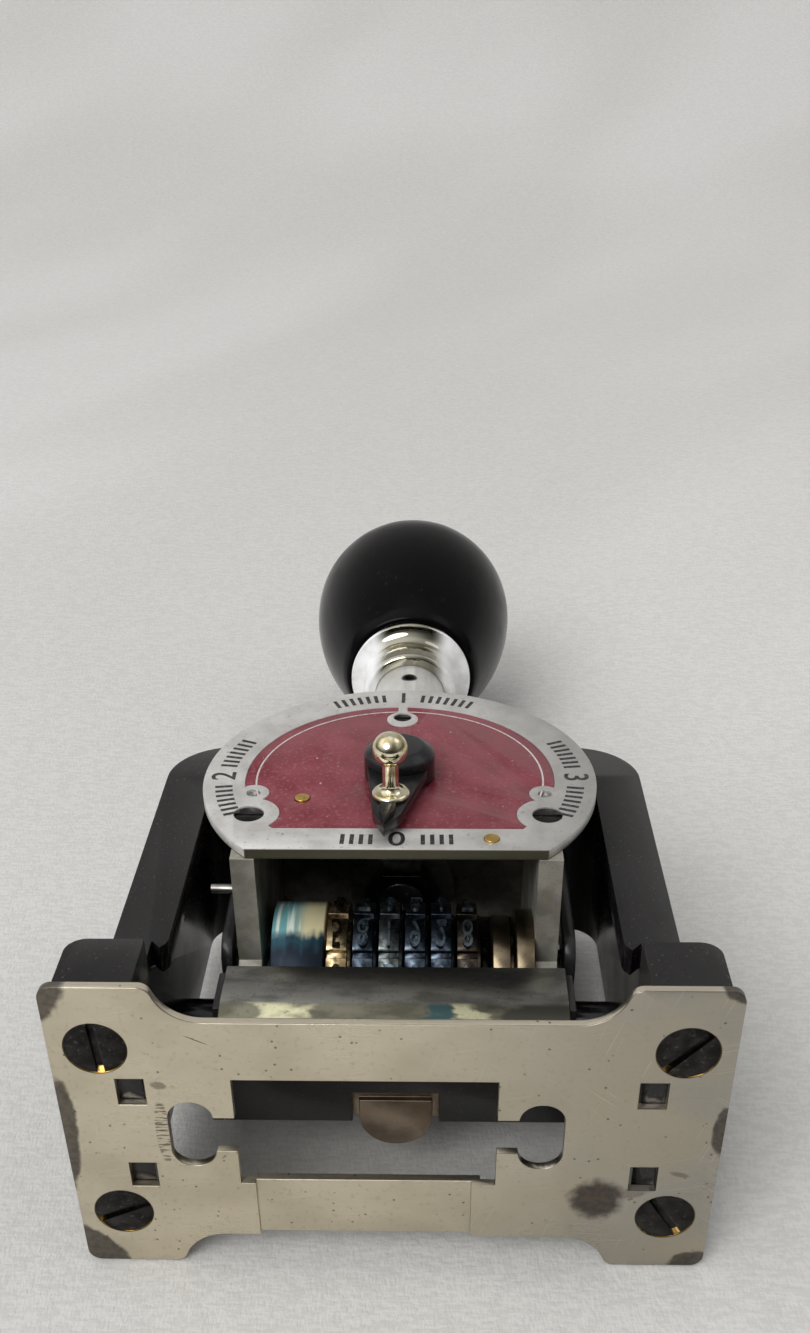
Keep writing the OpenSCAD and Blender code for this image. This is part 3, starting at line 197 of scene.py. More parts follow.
cloth, cloth_shader, cloth_place = finish("satin_cloth", tone(206, 205, 202), 0.9)
turned_place = cloth_place.node("ShaderNodeMapping", None, {
    "Vector": cloth_place, "Rotation": (0, math.radians(-32), 0)})
folds = grain(turned_place, 110, 1.5, (1, 1, 3.2), (40, 0, 10), 0.35)
weave = grain(cloth_place, 0.55, 1.0, (3.0, 1, 1))
threads = grain(cloth_place, 0.32, 1.0, (1, 1, 2.5), (7, 0, 3))
# Painted light and shade: the cloth is made a little lighter and darker along its folds.
painted_fold_light = ease(folds, 0.36, 0.64)
woven = ease(weave * 0.6 + threads * 0.4, 0.40, 0.60)
cloth_place.feed(cloth_shader.inputs["Base Color"], blend(
    woven, blend(painted_fold_light, tone(212, 211, 208), tone(221, 220, 218)),
    blend(painted_fold_light, tone(203, 202, 199), tone(212, 211, 209))))
dent(cloth_shader, weave * 0.5 + threads * 0.5 + folds * 22.0, 0.45, 0.0004)


def clear_from_behind(material, only_for_the_eye):
    """Clears a sheet from its far side, and for all but the camera or for a quarter of the lamps' light."""
    tree = material.node_tree
    shader = Wire(tree, tree.nodes["Principled BSDF"].outputs[0])
    behind = Wire(tree, tree.nodes.new("ShaderNodeNewGeometry").outputs["Backfacing"])
    path = tree.nodes.new("ShaderNodeLightPath").outputs
    if only_for_the_eye:
        unseen = 1.0 - Wire(tree, path["Is Camera Ray"])
    else:
        unseen = Wire(tree, path["Is Shadow Ray"]) * 0.25
    clear = Wire(tree, tree.nodes.new("ShaderNodeBsdfTransparent").outputs[0])
    shown = shader.node("ShaderNodeMixShader", None, {0: behind.math("MAXIMUM", unseen), 1: shader, 2: clear})
    shader.feed(tree.nodes["Material Output"].inputs["Surface"], shown)


def smooth_mesh(form, name, material):
    """A finished form as a mesh, shaded smooth, of one material."""
    mesh = bpy.data.meshes.new(name)
    form.to_mesh(mesh)
    form.free()
    for face in mesh.polygons:
        face.use_smooth = True
    mesh.materials.append(material)
    return mesh


def sheet(name, profile, material, only_for_the_eye=False):
    """A wide sheet that follows a profile in Y and Z. It faces up where the profile runs to -Y."""
    half_width = 1.6
    form = bmesh.new()
    rows = [[form.verts.new((x, y, z)) for x in (-half_width, half_width)] for y, z in profile]
    for low, high in zip(rows, rows[1:]):
        form.faces.new((low[0], high[0], high[1], low[1]))
    made = linked(name, smooth_mesh(form, name, material))
    clear_from_behind(material, only_for_the_eye)


cloth_y, cloth_foot_z = 0.02002, -0.5
cloth_end_y = -2.0
bend = 0.5
sweep = [(cloth_y - bend * (1 - math.cos(math.radians(a))), bend + bend * math.sin(math.radians(a)))
         for a in range(0, 91, 6)]
sheet("backdrop_cloth", [(cloth_end_y, 2 * bend)] + sweep[::-1] + [(cloth_y, cloth_foot_z)], cloth)
bench_finish, bench_shader, bench_place = finish("pale_bench", tone(246, 245, 243), 0.8)
bench_place.feed(bench_shader.inputs["Base Color"], blend(
    ease(grain(bench_place, 60, 3.0), 0.3, 0.7), tone(242, 241, 238), tone(249, 248, 246)))
bench_reach, bench_z = 1.2, -0.00002
sheet("bench", [(bench_reach, bench_z), (-bench_reach, bench_z)], bench_finish, True)


# ---- Light -------------------------------------------------------------------------------------
# Plain soft light: a sky that is bright in front of the machine and dim elsewhere, with a broad
# window to the left, a pale far wall and a dark place behind the camera. Of the three wide lamps
# the strongest is on the window's side.
scene.world = bpy.data.worlds.new("room")
scene.world.use_nodes = True
room = scene.world.node_tree
sky = Wire(room, room.nodes.new("ShaderNodeTexCoord").outputs["Generated"])


def towards(direction):
    """How far a direction of the sky agrees with another, one where it is the same."""
    return sky.node("ShaderNodeVectorMath", {"operation": "DOT_PRODUCT"},
                    {0: sky, 1: Vector(direction).normalized()}, out=1)


window = ease(towards((-0.55, -0.78, -0.3)), 0.45, 0.97) * 0.62
far_wall = ease(towards((-0.35, -0.45, 0.8)), 0.3, 0.95) * 0.24
dark = ease(towards((0.12, -0.55, -0.84)), 0.62, 0.95) * 0.42
seen = Wire(room, room.nodes.new("ShaderNodeLightPath").outputs["Is Camera Ray"])
front = ease(towards((0, -1, 0)), 0.05, 0.68) * 0.86 + 0.14
sky_light = blend(seen, (window + far_wall + 0.56 - dark) * front, (0.62, 0.62, 0.61, 1))
room.nodes["Background"].inputs["Strength"].default_value = 1.0
sky.feed(room.nodes["Background"].inputs["Color"], sky_light)


def lamp(name, place, aim, size, watts):
    """A wide soft lamp at a place, turned to a point."""
    light = bpy.data.lights.new(name, "AREA")
    light.shape, light.size, light.energy = "DISK", size, watts
    made = linked(name, light)
    made.matrix_world = Matrix.Translation(place) @ (
        Vector(aim) - Vector(place)).to_track_quat("-Z", "Y").to_matrix().to_4x4()


lamp("window_left", Vector((-0.89, -1.63, -1.5)), (0, 0, 0.06), 1.5, 30.0)
lamp("window_right", Vector((1.3, -1.7, 0.3)), (0, 0, 0.05), 1.0, 2.0)
lamp("window_back", Vector((0.4, 1.8, 1.4)), (0, 0, 0.06), 1.2, 16.0)


# ---- Base plate --------------------------------------------------------------------------------
# Stamped from sheet steel a millimetre thick, brass flashed and nickel plated, with the window,
# two keyholes and four square holes punched through. It faces the desk, so it is scratched and
# has one blot of rust. It has dark patches along its ends. Its right side is painted darker as
# shade, its edge carries a painted highlight over a painted dark line, and its countersinks painted glints.
def eased(node, material, width=0.12, sharp=30.0, steps=2):
    """A built piece with its edges eased, as filing, casting or tumbling leaves them."""
    body = frame["nodes"][node]["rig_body"]
    form = bmesh.new()
    form.from_mesh(frame["nodes"][node].data)
    bmesh.ops.remove_doubles(form, verts=form.verts, dist=2e-6)
    bmesh.ops.dissolve_limit(form, angle_limit=math.radians(0.4), verts=form.verts, edges=form.edges)
    piece = linked(node + "_eased", smooth_mesh(form, node + "_eased", material))
    edge = piece.modifiers.new("eased_edge", "BEVEL")
    edge.width, edge.segments = width / 1000, steps
    edge.limit_method, edge.angle_limit = "ANGLE", math.radians(sharp)
    edge.harden_normals = True
    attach(piece, body)
    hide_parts(node)


def strongest(*patterns):
    """The strongest of several patterns at each point."""
    whole = patterns[0]
    for pattern in patterns[1:]:
        whole = whole.math("MAXIMUM", pattern)
    return whole


def blot(x, y, at, size, turn=0.0, wobble=None, edge=0.25):
    """One inside an ellipse round a point of a flat face, and nought outside it."""
    c, s = math.cos(math.radians(turn)), math.sin(math.radians(turn))
    along = ((x - at[0]) * c + (y - at[1]) * s) / size[0]
    across = ((y - at[1]) * c - (x - at[0]) * s) / size[1]
    reach = along * along + across * across
    if wobble is not None:
        reach = reach + (wobble - 0.5) * 1.2
    return 1.0 - ease(reach, 1.0 - edge, 1.0 + edge)


def scratches(place, turn, seed, most=0.72):
    """Fine straight scratches that run one way, one on a scratch and nought beside it."""
    laid = place.node("ShaderNodeMapping", None, {"Vector": place, "Rotation": (0, 0, math.radians(turn))})
    line = grain(laid, 0.16, 0.0, (60, 1, 1), (seed, seed * 3, 0))
    part = grain(place, 9.0, 1.0, (1, 1, 1), (seed * 5, 0, 0))
    return ease(line, most, most + 0.05) * ease(part, 0.5, 0.62)


base_nickel, base_shader, base_place = finish("worn_base_nickel", tone(205, 196, 178), 0.34, 1.0)
x, y, z = apart(base_place)
cloudy = grain(base_place, 11.0, 4.0, (1.6, 1, 1))
fine = grain(base_place, 0.7, 3.0)
brushed = grain(base_place, 0.22, 1.0, (24, 1, 1))
wobble = grain(base_place, 2.2, 3.0)
# Painted shade: the plate is made greyer and darker towards its right side.
painted_right_shade = ease(x, -6.0, 34.0)
plate = blend(painted_right_shade, tone(214, 204, 182), tone(164, 159, 149))
plate = blend(ease(cloudy, 0.40, 0.66) * 0.55, plate, tone(182, 172, 150))
plate = blend(ease(fine, 0.55, 0.75) * 0.35, plate, tone(160, 150, 130))
scored = strongest(scratches(base_place, 12, 3), scratches(base_place, -38, 8),
                   scratches(base_place, 71, 14, 0.74))
plate = blend(scored * 0.22, plate, tone(236, 232, 222))
# Dark patches along the plate's ends, darker and rougher than the plate round them.
dark_end_spots = (((-35.6, -19.9), (3.2, 5.0), 20), ((-35.2, 0.6), (1.7, 8.4), 4),
               ((-33.5, 18.2), (2.2, 4.6), -38), ((34.9, -20.0), (2.1, 1.6), 0),
               ((35.2, -1.2), (1.5, 3.4), 0), ((33.4, 19.6), (2.6, 2.0), -25))
dark_end_patch = strongest(*(blot(x, y, spot, size, turn, wobble) for spot, size, turn in dark_end_spots))
# Painted light on the plate's edge: a painted highlight on its side faces towards -Y, and a painted dark line
# just above its underside.
painted_edge_highlight = ease(z, 0.10, 0.16) * (1.0 - ease(z, 0.84, 0.90)) * ease(y, 0.0, -2.0)
painted_edge_shade = ease(z, 0.012, 0.04) * (1.0 - ease(z, 0.10, 0.15))
plate = blend(painted_edge_highlight * 0.75, plate, tone(240, 230, 210))
plate = blend(painted_edge_shade * 0.55, plate, tone(88, 76, 58))
plate = blend(dark_end_patch * 0.84, plate, blend(ease(fine, 0.4, 0.6), tone(84, 78, 74), tone(66, 60, 56)))
rust = blot(x, y, (22.3, 9.2), (2.9, 3.0), 20, grain(base_place, 1.5, 4.0), 0.5)
rust_tail = blot(x, y, (26.0, 8.2), (2.2, 0.8), -20, grain(base_place, 1.2, 4.0), 0.6) * 0.5
rusted = strongest(rust, rust_tail)
rust_tone = blend(ease(grain(base_place, 0.8, 4.0), 0.4, 0.62), tone(24, 17, 12), tone(56, 38, 25))
plate = blend(rusted * 0.92, plate, rust_tone)
wisps = ease(grain(base_place, 0.3, 2.0, (6, 1, 1), (2, 5, 1)), 0.46, 0.58)
stained = strongest(
    blot(x, y, (-24.3, -0.4), (0.8, 4.4), 0) * wisps,
    blot(x, y, (-24.2, -7.0), (0.8, 0.5), 10, wobble, 0.5) * 0.7,
    blot(x, y, (-19.7, -13.2), (1.3, 0.07), 27, None, 0.6),
    blot(x, y, (31.0, 5.3), (1.1, 0.35), 15, wobble, 0.5) * 0.6)
plate = blend(stained * 0.75, plate, tone(70, 62, 52))
pits = base_place.node("ShaderNodeTexVoronoi", None, {"Vector": base_place, "Scale": 0.8})
pitted = (1.0 - ease(pits, 0.06, 0.16)) * ease(grain(base_place, 4.0), 0.46, 0.54)
plate = blend(pitted * 0.8, plate, tone(92, 82, 66))
screw_x, screw_y, cone_r = 30.05, 11.93, 3.22


def brassy_cone(sx, sy):
    """Brass in a screw's countersink, made strongest on its side of +Y as painted glints."""
    far = ((x - sx) * (x - sx) + (y - sy) * (y - sy)).math("SQRT")
    patch = ease(grain(base_place, 0.8, 2.0, (1, 1, 1), (6, 1, 2)), 0.42, 0.52)
    painted_glint_side = ease(y, sy + 0.6, sy + 2.4) * patch
    return (1.0 - ease(far, cone_r, cone_r + 0.14)) * ease(z, 0.01, 0.06) * (painted_glint_side * 0.8 + 0.2)


# The countersink cones are darkened, with brass over them whose +Y side is painted glints.
brass_glint_ring = strongest(*(brassy_cone(sx, sy) for sx in (-screw_x, screw_x) for sy in (-screw_y, screw_y)))
plate = blend(brass_glint_ring * 0.9, blend(ease(brass_glint_ring, 0.0, 0.1), plate, tone(48, 42, 36)), tone(178, 142, 74))
base_place.feed(base_shader.inputs["Base Color"], plate)
base_place.feed(base_shader.inputs["Roughness"], ease(cloudy, 0.3, 0.7) * 0.10 + 0.27 + dark_end_patch * 0.15
                + rusted * 0.45 + (brushed - 0.5) * 0.10)
base_place.feed(base_shader.inputs["Metallic"], 1.0 - rusted * 0.95)
base_relief = brushed * 0.25 + fine * 0.3 - scored * 0.8 - pitted * 1.2 + rusted * fine * 2.0
dent(base_shader, base_relief, 0.16, 0.00004)
eased("base_plate", base_nickel, 0.16)


# ---- Base screws -------------------------------------------------------------------------------
# Four countersunk slotted screws hold the base plate to the feet. They are oil-blackened steel,
# rubbed bright here and there on their rims.
def blued(name, colour, roughness):
    """Oil-blackened steel with a soft mottle and rubbed patches."""
    material, shader, place = finish(name, colour, roughness, 1.0)
    mottle = grain(place, 1.4, 4.0)
    rub = ease(grain(place, 0.5, 3.0, (1, 1, 1), (5, 2, 1)), 0.58, 0.72)
    dull = tuple(c * 0.55 for c in colour[:3]) + (1.0,)
    steel = blend(ease(mottle, 0.35, 0.65), colour, dull)
    place.feed(shader.inputs["Base Color"], blend(rub * 0.25, steel, tone(128, 120, 106)))
    place.feed(shader.inputs["Roughness"], mottle * 0.25 + roughness - 0.1)
    dent(shader, mottle + rub * 0.4, 0.2, 0.00003)
    return material


screw_steel = blued("blackened_screw", tone(52, 50, 49), 0.36)
eased("base_screws", screw_steel, 0.10)


# ---- Frame -------------------------------------------------------------------------------------
# One iron casting: two feet, two legs and a bridge with the neck on top. It is filed, then dipped
# in black baking enamel, which pools softly over every edge and keeps a faint orange peel.
def enamelled(name, colour, roughness=0.16, peel=0.12, size=1.6):
    """Glossy baked enamel with a faint orange peel, dust and rubbed spots."""
    material, shader, place = finish(name, colour, roughness, 0.0, Coat_Weight=0.12,
                                     Coat_Roughness=0.08, Specular_IOR_Level=0.34)
    skin = grain(place, size, 2.0)
    dust = ease(grain(place, 0.35, 2.0, (1, 1, 1), (9, 4, 2)), 0.66, 0.74)
    haze = ease(grain(place, 9.0, 3.0), 0.35, 0.7)
    warm = tuple(c * 1.7 + 0.004 for c in colour[:3]) + (1.0,)
    paint = blend(haze * 0.6, colour, warm)
    place.feed(shader.inputs["Base Color"], blend(dust * 0.4, paint, tone(96, 92, 90)))
    place.feed(shader.inputs["Roughness"], haze * 0.10 + roughness + dust * 0.2)
    dent(shader, skin + dust * 0.15, peel, 0.00006)
    return material


frame_enamel = enamelled("frame_enamel", tone(20, 18, 19))
eased("frame", frame_enamel, 0.55, 28.0, 3)
eased("pivot_screws", screw_steel, 0.08)
eased("key_screw", screw_steel, 0.08)


# ---- Neck bush, rod and spring -----------------------------------------------------------------
# A turned brass bush in the frame's neck guides the ground steel rod. The spring round the rod
# is oil-tempered wire. The stroke squeezes it between bush and sleeve, and it lifts the head again.
def turned(name, colour, roughness, axis=(1, 1, 0.12), dirt=tone(60, 54, 46), metal=1.0, uneven=0.28,
           oil_hole=None):
    """Turned metal: fine tool rings along an axis, a soft mottle, dirt in its hollows, and painted shade
    round an oil hole if one is given.
    """
    material, shader, place = finish(name, colour, roughness, metal)
    rings = grain(place, 0.5, 2.0, axis)
    mottle = grain(place, 2.4, 3.0)
    speck = ease(grain(place, 0.4, 3.0, (1, 1, 1), (3, 8, 5)), 0.60, 0.72)
    light = tuple(min(1.0, c * (1 + uneven * 0.4)) for c in colour[:3]) + (1.0,)
    dim = tuple(c * (1 - uneven) for c in colour[:3]) + (1.0,)
    surface = blend(ease(mottle, 0.34, 0.68), light, dim)
    # Painted shade: a dark disc round the oil hole, on its front, makes the hole look larger.
    if oil_hole is not None:
        x, y, z = apart(place)
        far = (x * x + (z - oil_hole) * (z - oil_hole)).math("SQRT")
        surface = blend(ease(far, 1.5, 1.05) * ease(y, 0.0, -1.0), surface, tone(26, 24, 22))
    place.feed(shader.inputs["Base Color"], blend(speck * uneven * 1.8, surface, dirt))
    place.feed(shader.inputs["Roughness"], (rings - 0.5) * 0.16 + mottle * 0.12 + roughness - 0.05)
    dent(shader, rings * 0.7 + mottle * 0.3, 0.12, 0.00003)
    return material


bush_brass = turned("bush_brass", tone(196, 162, 92), 0.28)
rod_steel = turned("ground_steel", tone(186, 186, 184), 0.22)
spring_steel = turned("spring_steel", tone(120, 116, 112), 0.3, (1, 1, 1))
eased("neck_bush", bush_brass, 0.08)
eased("plunger_rod", rod_steel, 0.10)
coil = linked("main_spring_coil", frame["nodes"]["main_spring"].data.copy())
coil.data.materials[0] = spring_steel
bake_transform(coil)
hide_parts("main_spring")


# ---- Stem sleeve and ferrule -------------------------------------------------------------------
# A drawn tube of satin nickel slides into the neck and keeps dust off the spring. It has one oil
# hole, with painted shade round it. The ferrule that closes the foot of the handle is turned brass,
# chromium plated, with painted highlights on its sides.
oil_hole_z = 100.0
sleeve_nickel = turned("satin_sleeve_nickel", tone(220, 218, 213), 0.45, (1, 1, 40), metal=0.45,
                       uneven=0.06, oil_hole=oil_hole_z)
eased("stem_sleeve", sleeve_nickel, 0.08)
chrome, chrome_shader, chrome_place = finish("ferrule_chrome", tone(226, 226, 224), 0.07, 1.0)
tarnish = ease(grain(chrome_place, 3.0, 3.0), 0.4, 0.7) * 0.3
x, y, z = apart(chrome_place)
# Painted highlights: the ferrule's two sides are bright white and not metal; its middle keeps a dull brass
# tone.
painted_side_highlight = ease(x.math("ABSOLUTE"), 3.5, 6.5)
gilt = strongest(tarnish, 1.0 - painted_side_highlight)
chrome_tone = blend(gilt * 0.8, tone(252, 252, 252), tone(128, 122, 92))
chrome_place.feed(chrome_shader.inputs["Base Color"], chrome_tone)
chrome_place.feed(chrome_shader.inputs["Metallic"], 1.0 - painted_side_highlight)
chrome_place.feed(chrome_shader.inputs["Roughness"], tarnish * 0.08 + 0.05)
dent(chrome_shader, grain(chrome_place, 0.6, 2.0), 0.05, 0.00003)
eased("ferrule", chrome, 0.12)


# ---- Handle ------------------------------------------------------------------------------------
# A turned hardwood ball in black lacquer, flared from its foot like a door knob and polished by
# the palm. It is spun here from its own profile.
def spun(name, outline, material, body, node):
    """A solid of revolution about the Z axis, from its half outline in millimetres."""
    steps = 128
    angles = [2 * math.pi * k / steps for k in range(steps)]
    form = bmesh.new()
    rows = []
    for r, height in outline:
        around = angles if r > 0 else [0.0]
        rows.append([form.verts.new((r * math.cos(a) / 1000, r * math.sin(a) / 1000, height / 1000))
                     for a in around])
    for low, high in zip(rows, rows[1:]):
        for k in range(steps):
            ring_a = [low[k % len(low)], low[(k + 1) % len(low)]]
            ring_b = [high[(k + 1) % len(high)], high[k % len(high)]]
            corners = []
            for corner in ring_a + ring_b:
                if corner not in corners:
                    corners.append(corner)
            form.faces.new(corners)
    bmesh.ops.recalc_face_normals(form, faces=form.faces)
    mesh = smooth_mesh(form, name, material)
    mesh.set_sharp_from_angle(angle=math.radians(42))
    piece = linked(name, mesh)
    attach(piece, body)
    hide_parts(node)


lacquer, lacquer_shader, lacquer_place = finish(
    "black_lacquer", tone(9, 8, 10), 0.26, 0.0, IOR=1.17, Specular_IOR_Level=0.5)
wood = grain(lacquer_place, 1.2, 3.0, (1, 1, 14))
worn = ease(grain(lacquer_place, 8.0, 4.0), 0.45, 0.75)
knocks = ease(grain(lacquer_place, 0.9, 3.0, (1, 1, 1), (2, 6, 4)), 0.68, 0.74)
lacquer_tone = blend(worn * 0.5, tone(8, 7, 9), tone(16, 14, 15))
lacquer_place.feed(lacquer_shader.inputs["Base Color"], blend(knocks * 0.4, lacquer_tone, tone(58, 52, 50)))
lacquer_place.feed(lacquer_shader.inputs["Roughness"], worn * 0.14 + 0.16)
dent(lacquer_shader, wood * 0.5 + worn * 0.5 - knocks * 0.6, 0.08, 0.00006)
foot_z, handle_top = (corner.z * 1000 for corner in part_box("handle"))
rod_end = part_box("plunger_rod")[1].z * 1000
foot_r, ball_r, bore_r = 11.2, 17.9, 3.05
flare = 0.59 * (handle_top - foot_z)
crown = (handle_top - foot_z) - flare
quarter = [math.pi / 2 * t / 24 for t in range(1, 25)]
handle_outline = [(0.0, rod_end), (bore_r, rod_end), (bore_r, foot_z), (foot_r - 0.6, foot_z),
                  (foot_r - 0.2, foot_z + 0.12), (foot_r, foot_z + 0.4)]
handle_outline += [(foot_r + (ball_r - foot_r) * math.sin(a), foot_z + flare * a / (math.pi / 2))
                   for a in quarter]
handle_outline += [(ball_r * math.cos(a), foot_z + flare + crown * math.sin(a)) for a in quarter[:-1]]
handle_outline += [(0.0, handle_top)]
spun("handle_ball", handle_outline, lacquer, "head", "handle")


# ---- Yoke bridge, nut and bumper ---------------------------------------------------------------
# The head hangs on the rod from a steel bridge, held by a hexagon nut. A rubber washer on top of
# the bridge takes the knock when the spring throws the head back up.
head_steel = turned("head_steel", tone(150, 148, 142), 0.34, (1, 1, 1))
eased("yoke_bridge", head_steel, 0.20)
eased("rod_nut", screw_steel, 0.12)
rubber, rubber_shader, rubber_place = finish("black_rubber", tone(34, 33, 33), 0.75)
bloom = ease(grain(rubber_place, 1.6, 3.0), 0.45, 0.7)
rubber_place.feed(rubber_shader.inputs["Base Color"], blend(bloom, tone(32, 31, 31), tone(58, 56, 54)))
dent(rubber_shader, grain(rubber_place, 0.3, 2.0), 0.3, 0.00004)
eased("bumper_washer", rubber, 0.20)


# ---- Cheeks and what joins them ----------------------------------------------------------------
# Two sawn and ground steel side plates, nickel plated and grown grey and speckled, with round
# lobes for the wheel shaft. Screws and two turned bars hold them apart. A pin stands out on the left.
def grey_nickel(name, colour, roughness, warm=tone(150, 130, 96), metal=1.0):
    """Old nickel plate: grey, speckled, stained warm in patches, rubbed brighter here and there."""
    material, shader, place = finish(name, colour, roughness, metal)
    cloud = grain(place, 3.4, 4.0)
    speck = ease(grain(place, 0.32, 3.0), 0.56, 0.66)
    stain = ease(grain(place, 2.2, 3.0, (1, 1, 1), (3, 1, 7)), 0.56, 0.72)
    lines = grain(place, 0.2, 1.0, (1, 24, 1))
    dim = tuple(c * 0.62 for c in colour[:3]) + (1.0,)
    plate = blend(ease(cloud, 0.36, 0.66), colour, dim)
    plate = blend(stain * 0.45, plate, warm)
    place.feed(shader.inputs["Base Color"], blend(speck * 0.5, plate, dim))
    place.feed(shader.inputs["Roughness"], cloud * 0.2 + roughness - 0.08 + (lines - 0.5) * 0.12)
    dent(shader, lines * 0.4 + speck * 0.4 + cloud * 0.4, 0.2, 0.00003)
    return material


cheek_nickel = grey_nickel("cheek_nickel", tone(178, 174, 162), 0.46, tone(162, 148, 116), 0.6)
for cheek in ("left_cheek", "right_cheek"):
    eased(cheek, cheek_nickel, 0.18)
eased("cheek_screws", screw_steel, 0.08)
for bar in ("tie_bars", "wheel_shaft", "cam_studs"):
    eased(bar, rod_steel, 0.06)
eased("cheek_pin", head_steel, 0.06)
eased("shaft_screws", screw_steel, 0.08)
eased("detent_comb", screw_steel, 0.08)


# ---- Drum and collars on the wheel shaft -------------------------------------------------------
# A polished steel drum fills the shaft left of the wheels. Its straw and blue heat tints are laid
# out by height as painted light: a pale painted highlight band, painted shade of blue to near black
# below it, and a dark top. Two grooved collars fill the right-hand end.
drum_steel, drum_shader, drum_place = finish("drum_tint_and_painted_light", tone(200, 198, 190), 0.2, 1.0)
x, y, z = apart(drum_place)
streaks = grain(drum_place, 0.7, 1.0, (1, 20, 20), (3, 1, 6))
# Painted light by height: a pale highlight band, mostly not metal, painted shade going to near black below
# it, and a dark top.
painted_light_height = z + (grain(drum_place, 1.6, 3.0) - 0.5) * 1.6 + (streaks - 0.5) * 1.5
straw_side = ease(x, -12.6, -10.4)
painted_highlight_band = blend(ease(streaks, 0.44, 0.58), tone(230, 242, 230), tone(116, 172, 176))
painted_highlight_band = blend(straw_side, painted_highlight_band, tone(224, 214, 170))
drum_tone = blend(ease(painted_light_height, 25.4, 23.8), painted_highlight_band, tone(46, 78, 92))
drum_tone = blend(ease(painted_light_height, 24.2, 22.2), drum_tone, tone(20, 28, 38))
drum_tone = blend(ease(painted_light_height, 29.0, 34.0), drum_tone, tone(30, 34, 34))
drum_place.feed(drum_shader.inputs["Base Color"], drum_tone)
drum_place.feed(drum_shader.inputs["Metallic"], ease(painted_light_height, 25.2, 23.6) * 0.7 + 0.1)
rings = grain(drum_place, 0.3, 1.0, (1, 30, 30))
drum_place.feed(drum_shader.inputs["Roughness"], rings * 0.14 + 0.34)
dent(drum_shader, rings, 0.15, 0.00003)
eased("filler_drum", drum_steel, 0.15)
collar_steel = turned("collar_steel", tone(120, 108, 88), 0.3, (0.2, 8, 8), tone(50, 36, 24))
eased("spacer_collars", collar_steel, 0.15)


# ---- Figure wheels -----------------------------------------------------------------------------
# Six engraved steel wheels with ten type blocks each, case-hardened to a dark blue-grey. The
# figures stand up from the blocks, cut in reverse so that they print the right way round, and
# their faces are rubbed pale. The ratchet ring is on the right of each wheel.
def wheel_steel(name, colour, edge):
    """Case-hardened steel with ink left in its hollows."""
    material, shader, place = finish(name, colour, 0.36, 1.0)
    mottle = grain(place, 1.3, 4.0)
    ink = ease(grain(place, 0.6, 3.0, (1, 1, 1), (4, 4, 1)), 0.48, 0.66)
    steel = blend(ease(mottle, 0.36, 0.66), colour, edge)
    place.feed(shader.inputs["Base Color"], blend(ink * 0.6, steel, tone(24, 24, 28)))
    place.feed(shader.inputs["Roughness"], mottle * 0.25 + 0.22)
    dent(shader, mottle + ink * 0.4, 0.3, 0.00004)
    return material


def node_group(name, whole_number, lengths):
    """A new Geometry Nodes tree: the tree, its inputs, and what adds a node to it."""
    tree = bpy.data.node_groups.new(name, "GeometryNodeTree")
    tree.interface.new_socket("Geometry", in_out="OUTPUT", socket_type="NodeSocketGeometry")
    kinds = dict.fromkeys(lengths, "NodeSocketFloat")
    kinds.update({whole_number: "NodeSocketInt", "Finish": "NodeSocketMaterial"})
    for label, kind in kinds.items():
        tree.interface.new_socket(label, in_out="INPUT", socket_type=kind)

    def add(kind, settings=None, sockets=None):
        made = tree.nodes.new(kind)
        for label, value in (settings or {}).items():
            setattr(made, label, value)
        for label, value in (sockets or {}).items():
            if isinstance(value, bpy.types.NodeSocket):
                tree.links.new(value, made.inputs[label])
            else:
                made.inputs[label].default_value = value
        return made.outputs

    return tree, tree.nodes.new("NodeGroupInput").outputs, add


def give_out(tree, add, geometry, material):
    """Hands a tree's geometry out of it, made real and in its finish."""
    whole = add("GeometryNodeRealizeInstances", None, {0: geometry})[0]
    coloured = add("GeometryNodeSetMaterial", None, {"Geometry": whole, "Material": material})[0]
    tree.links.new(coloured, tree.nodes.new("NodeGroupOutput").inputs[0])


figure_count = 10


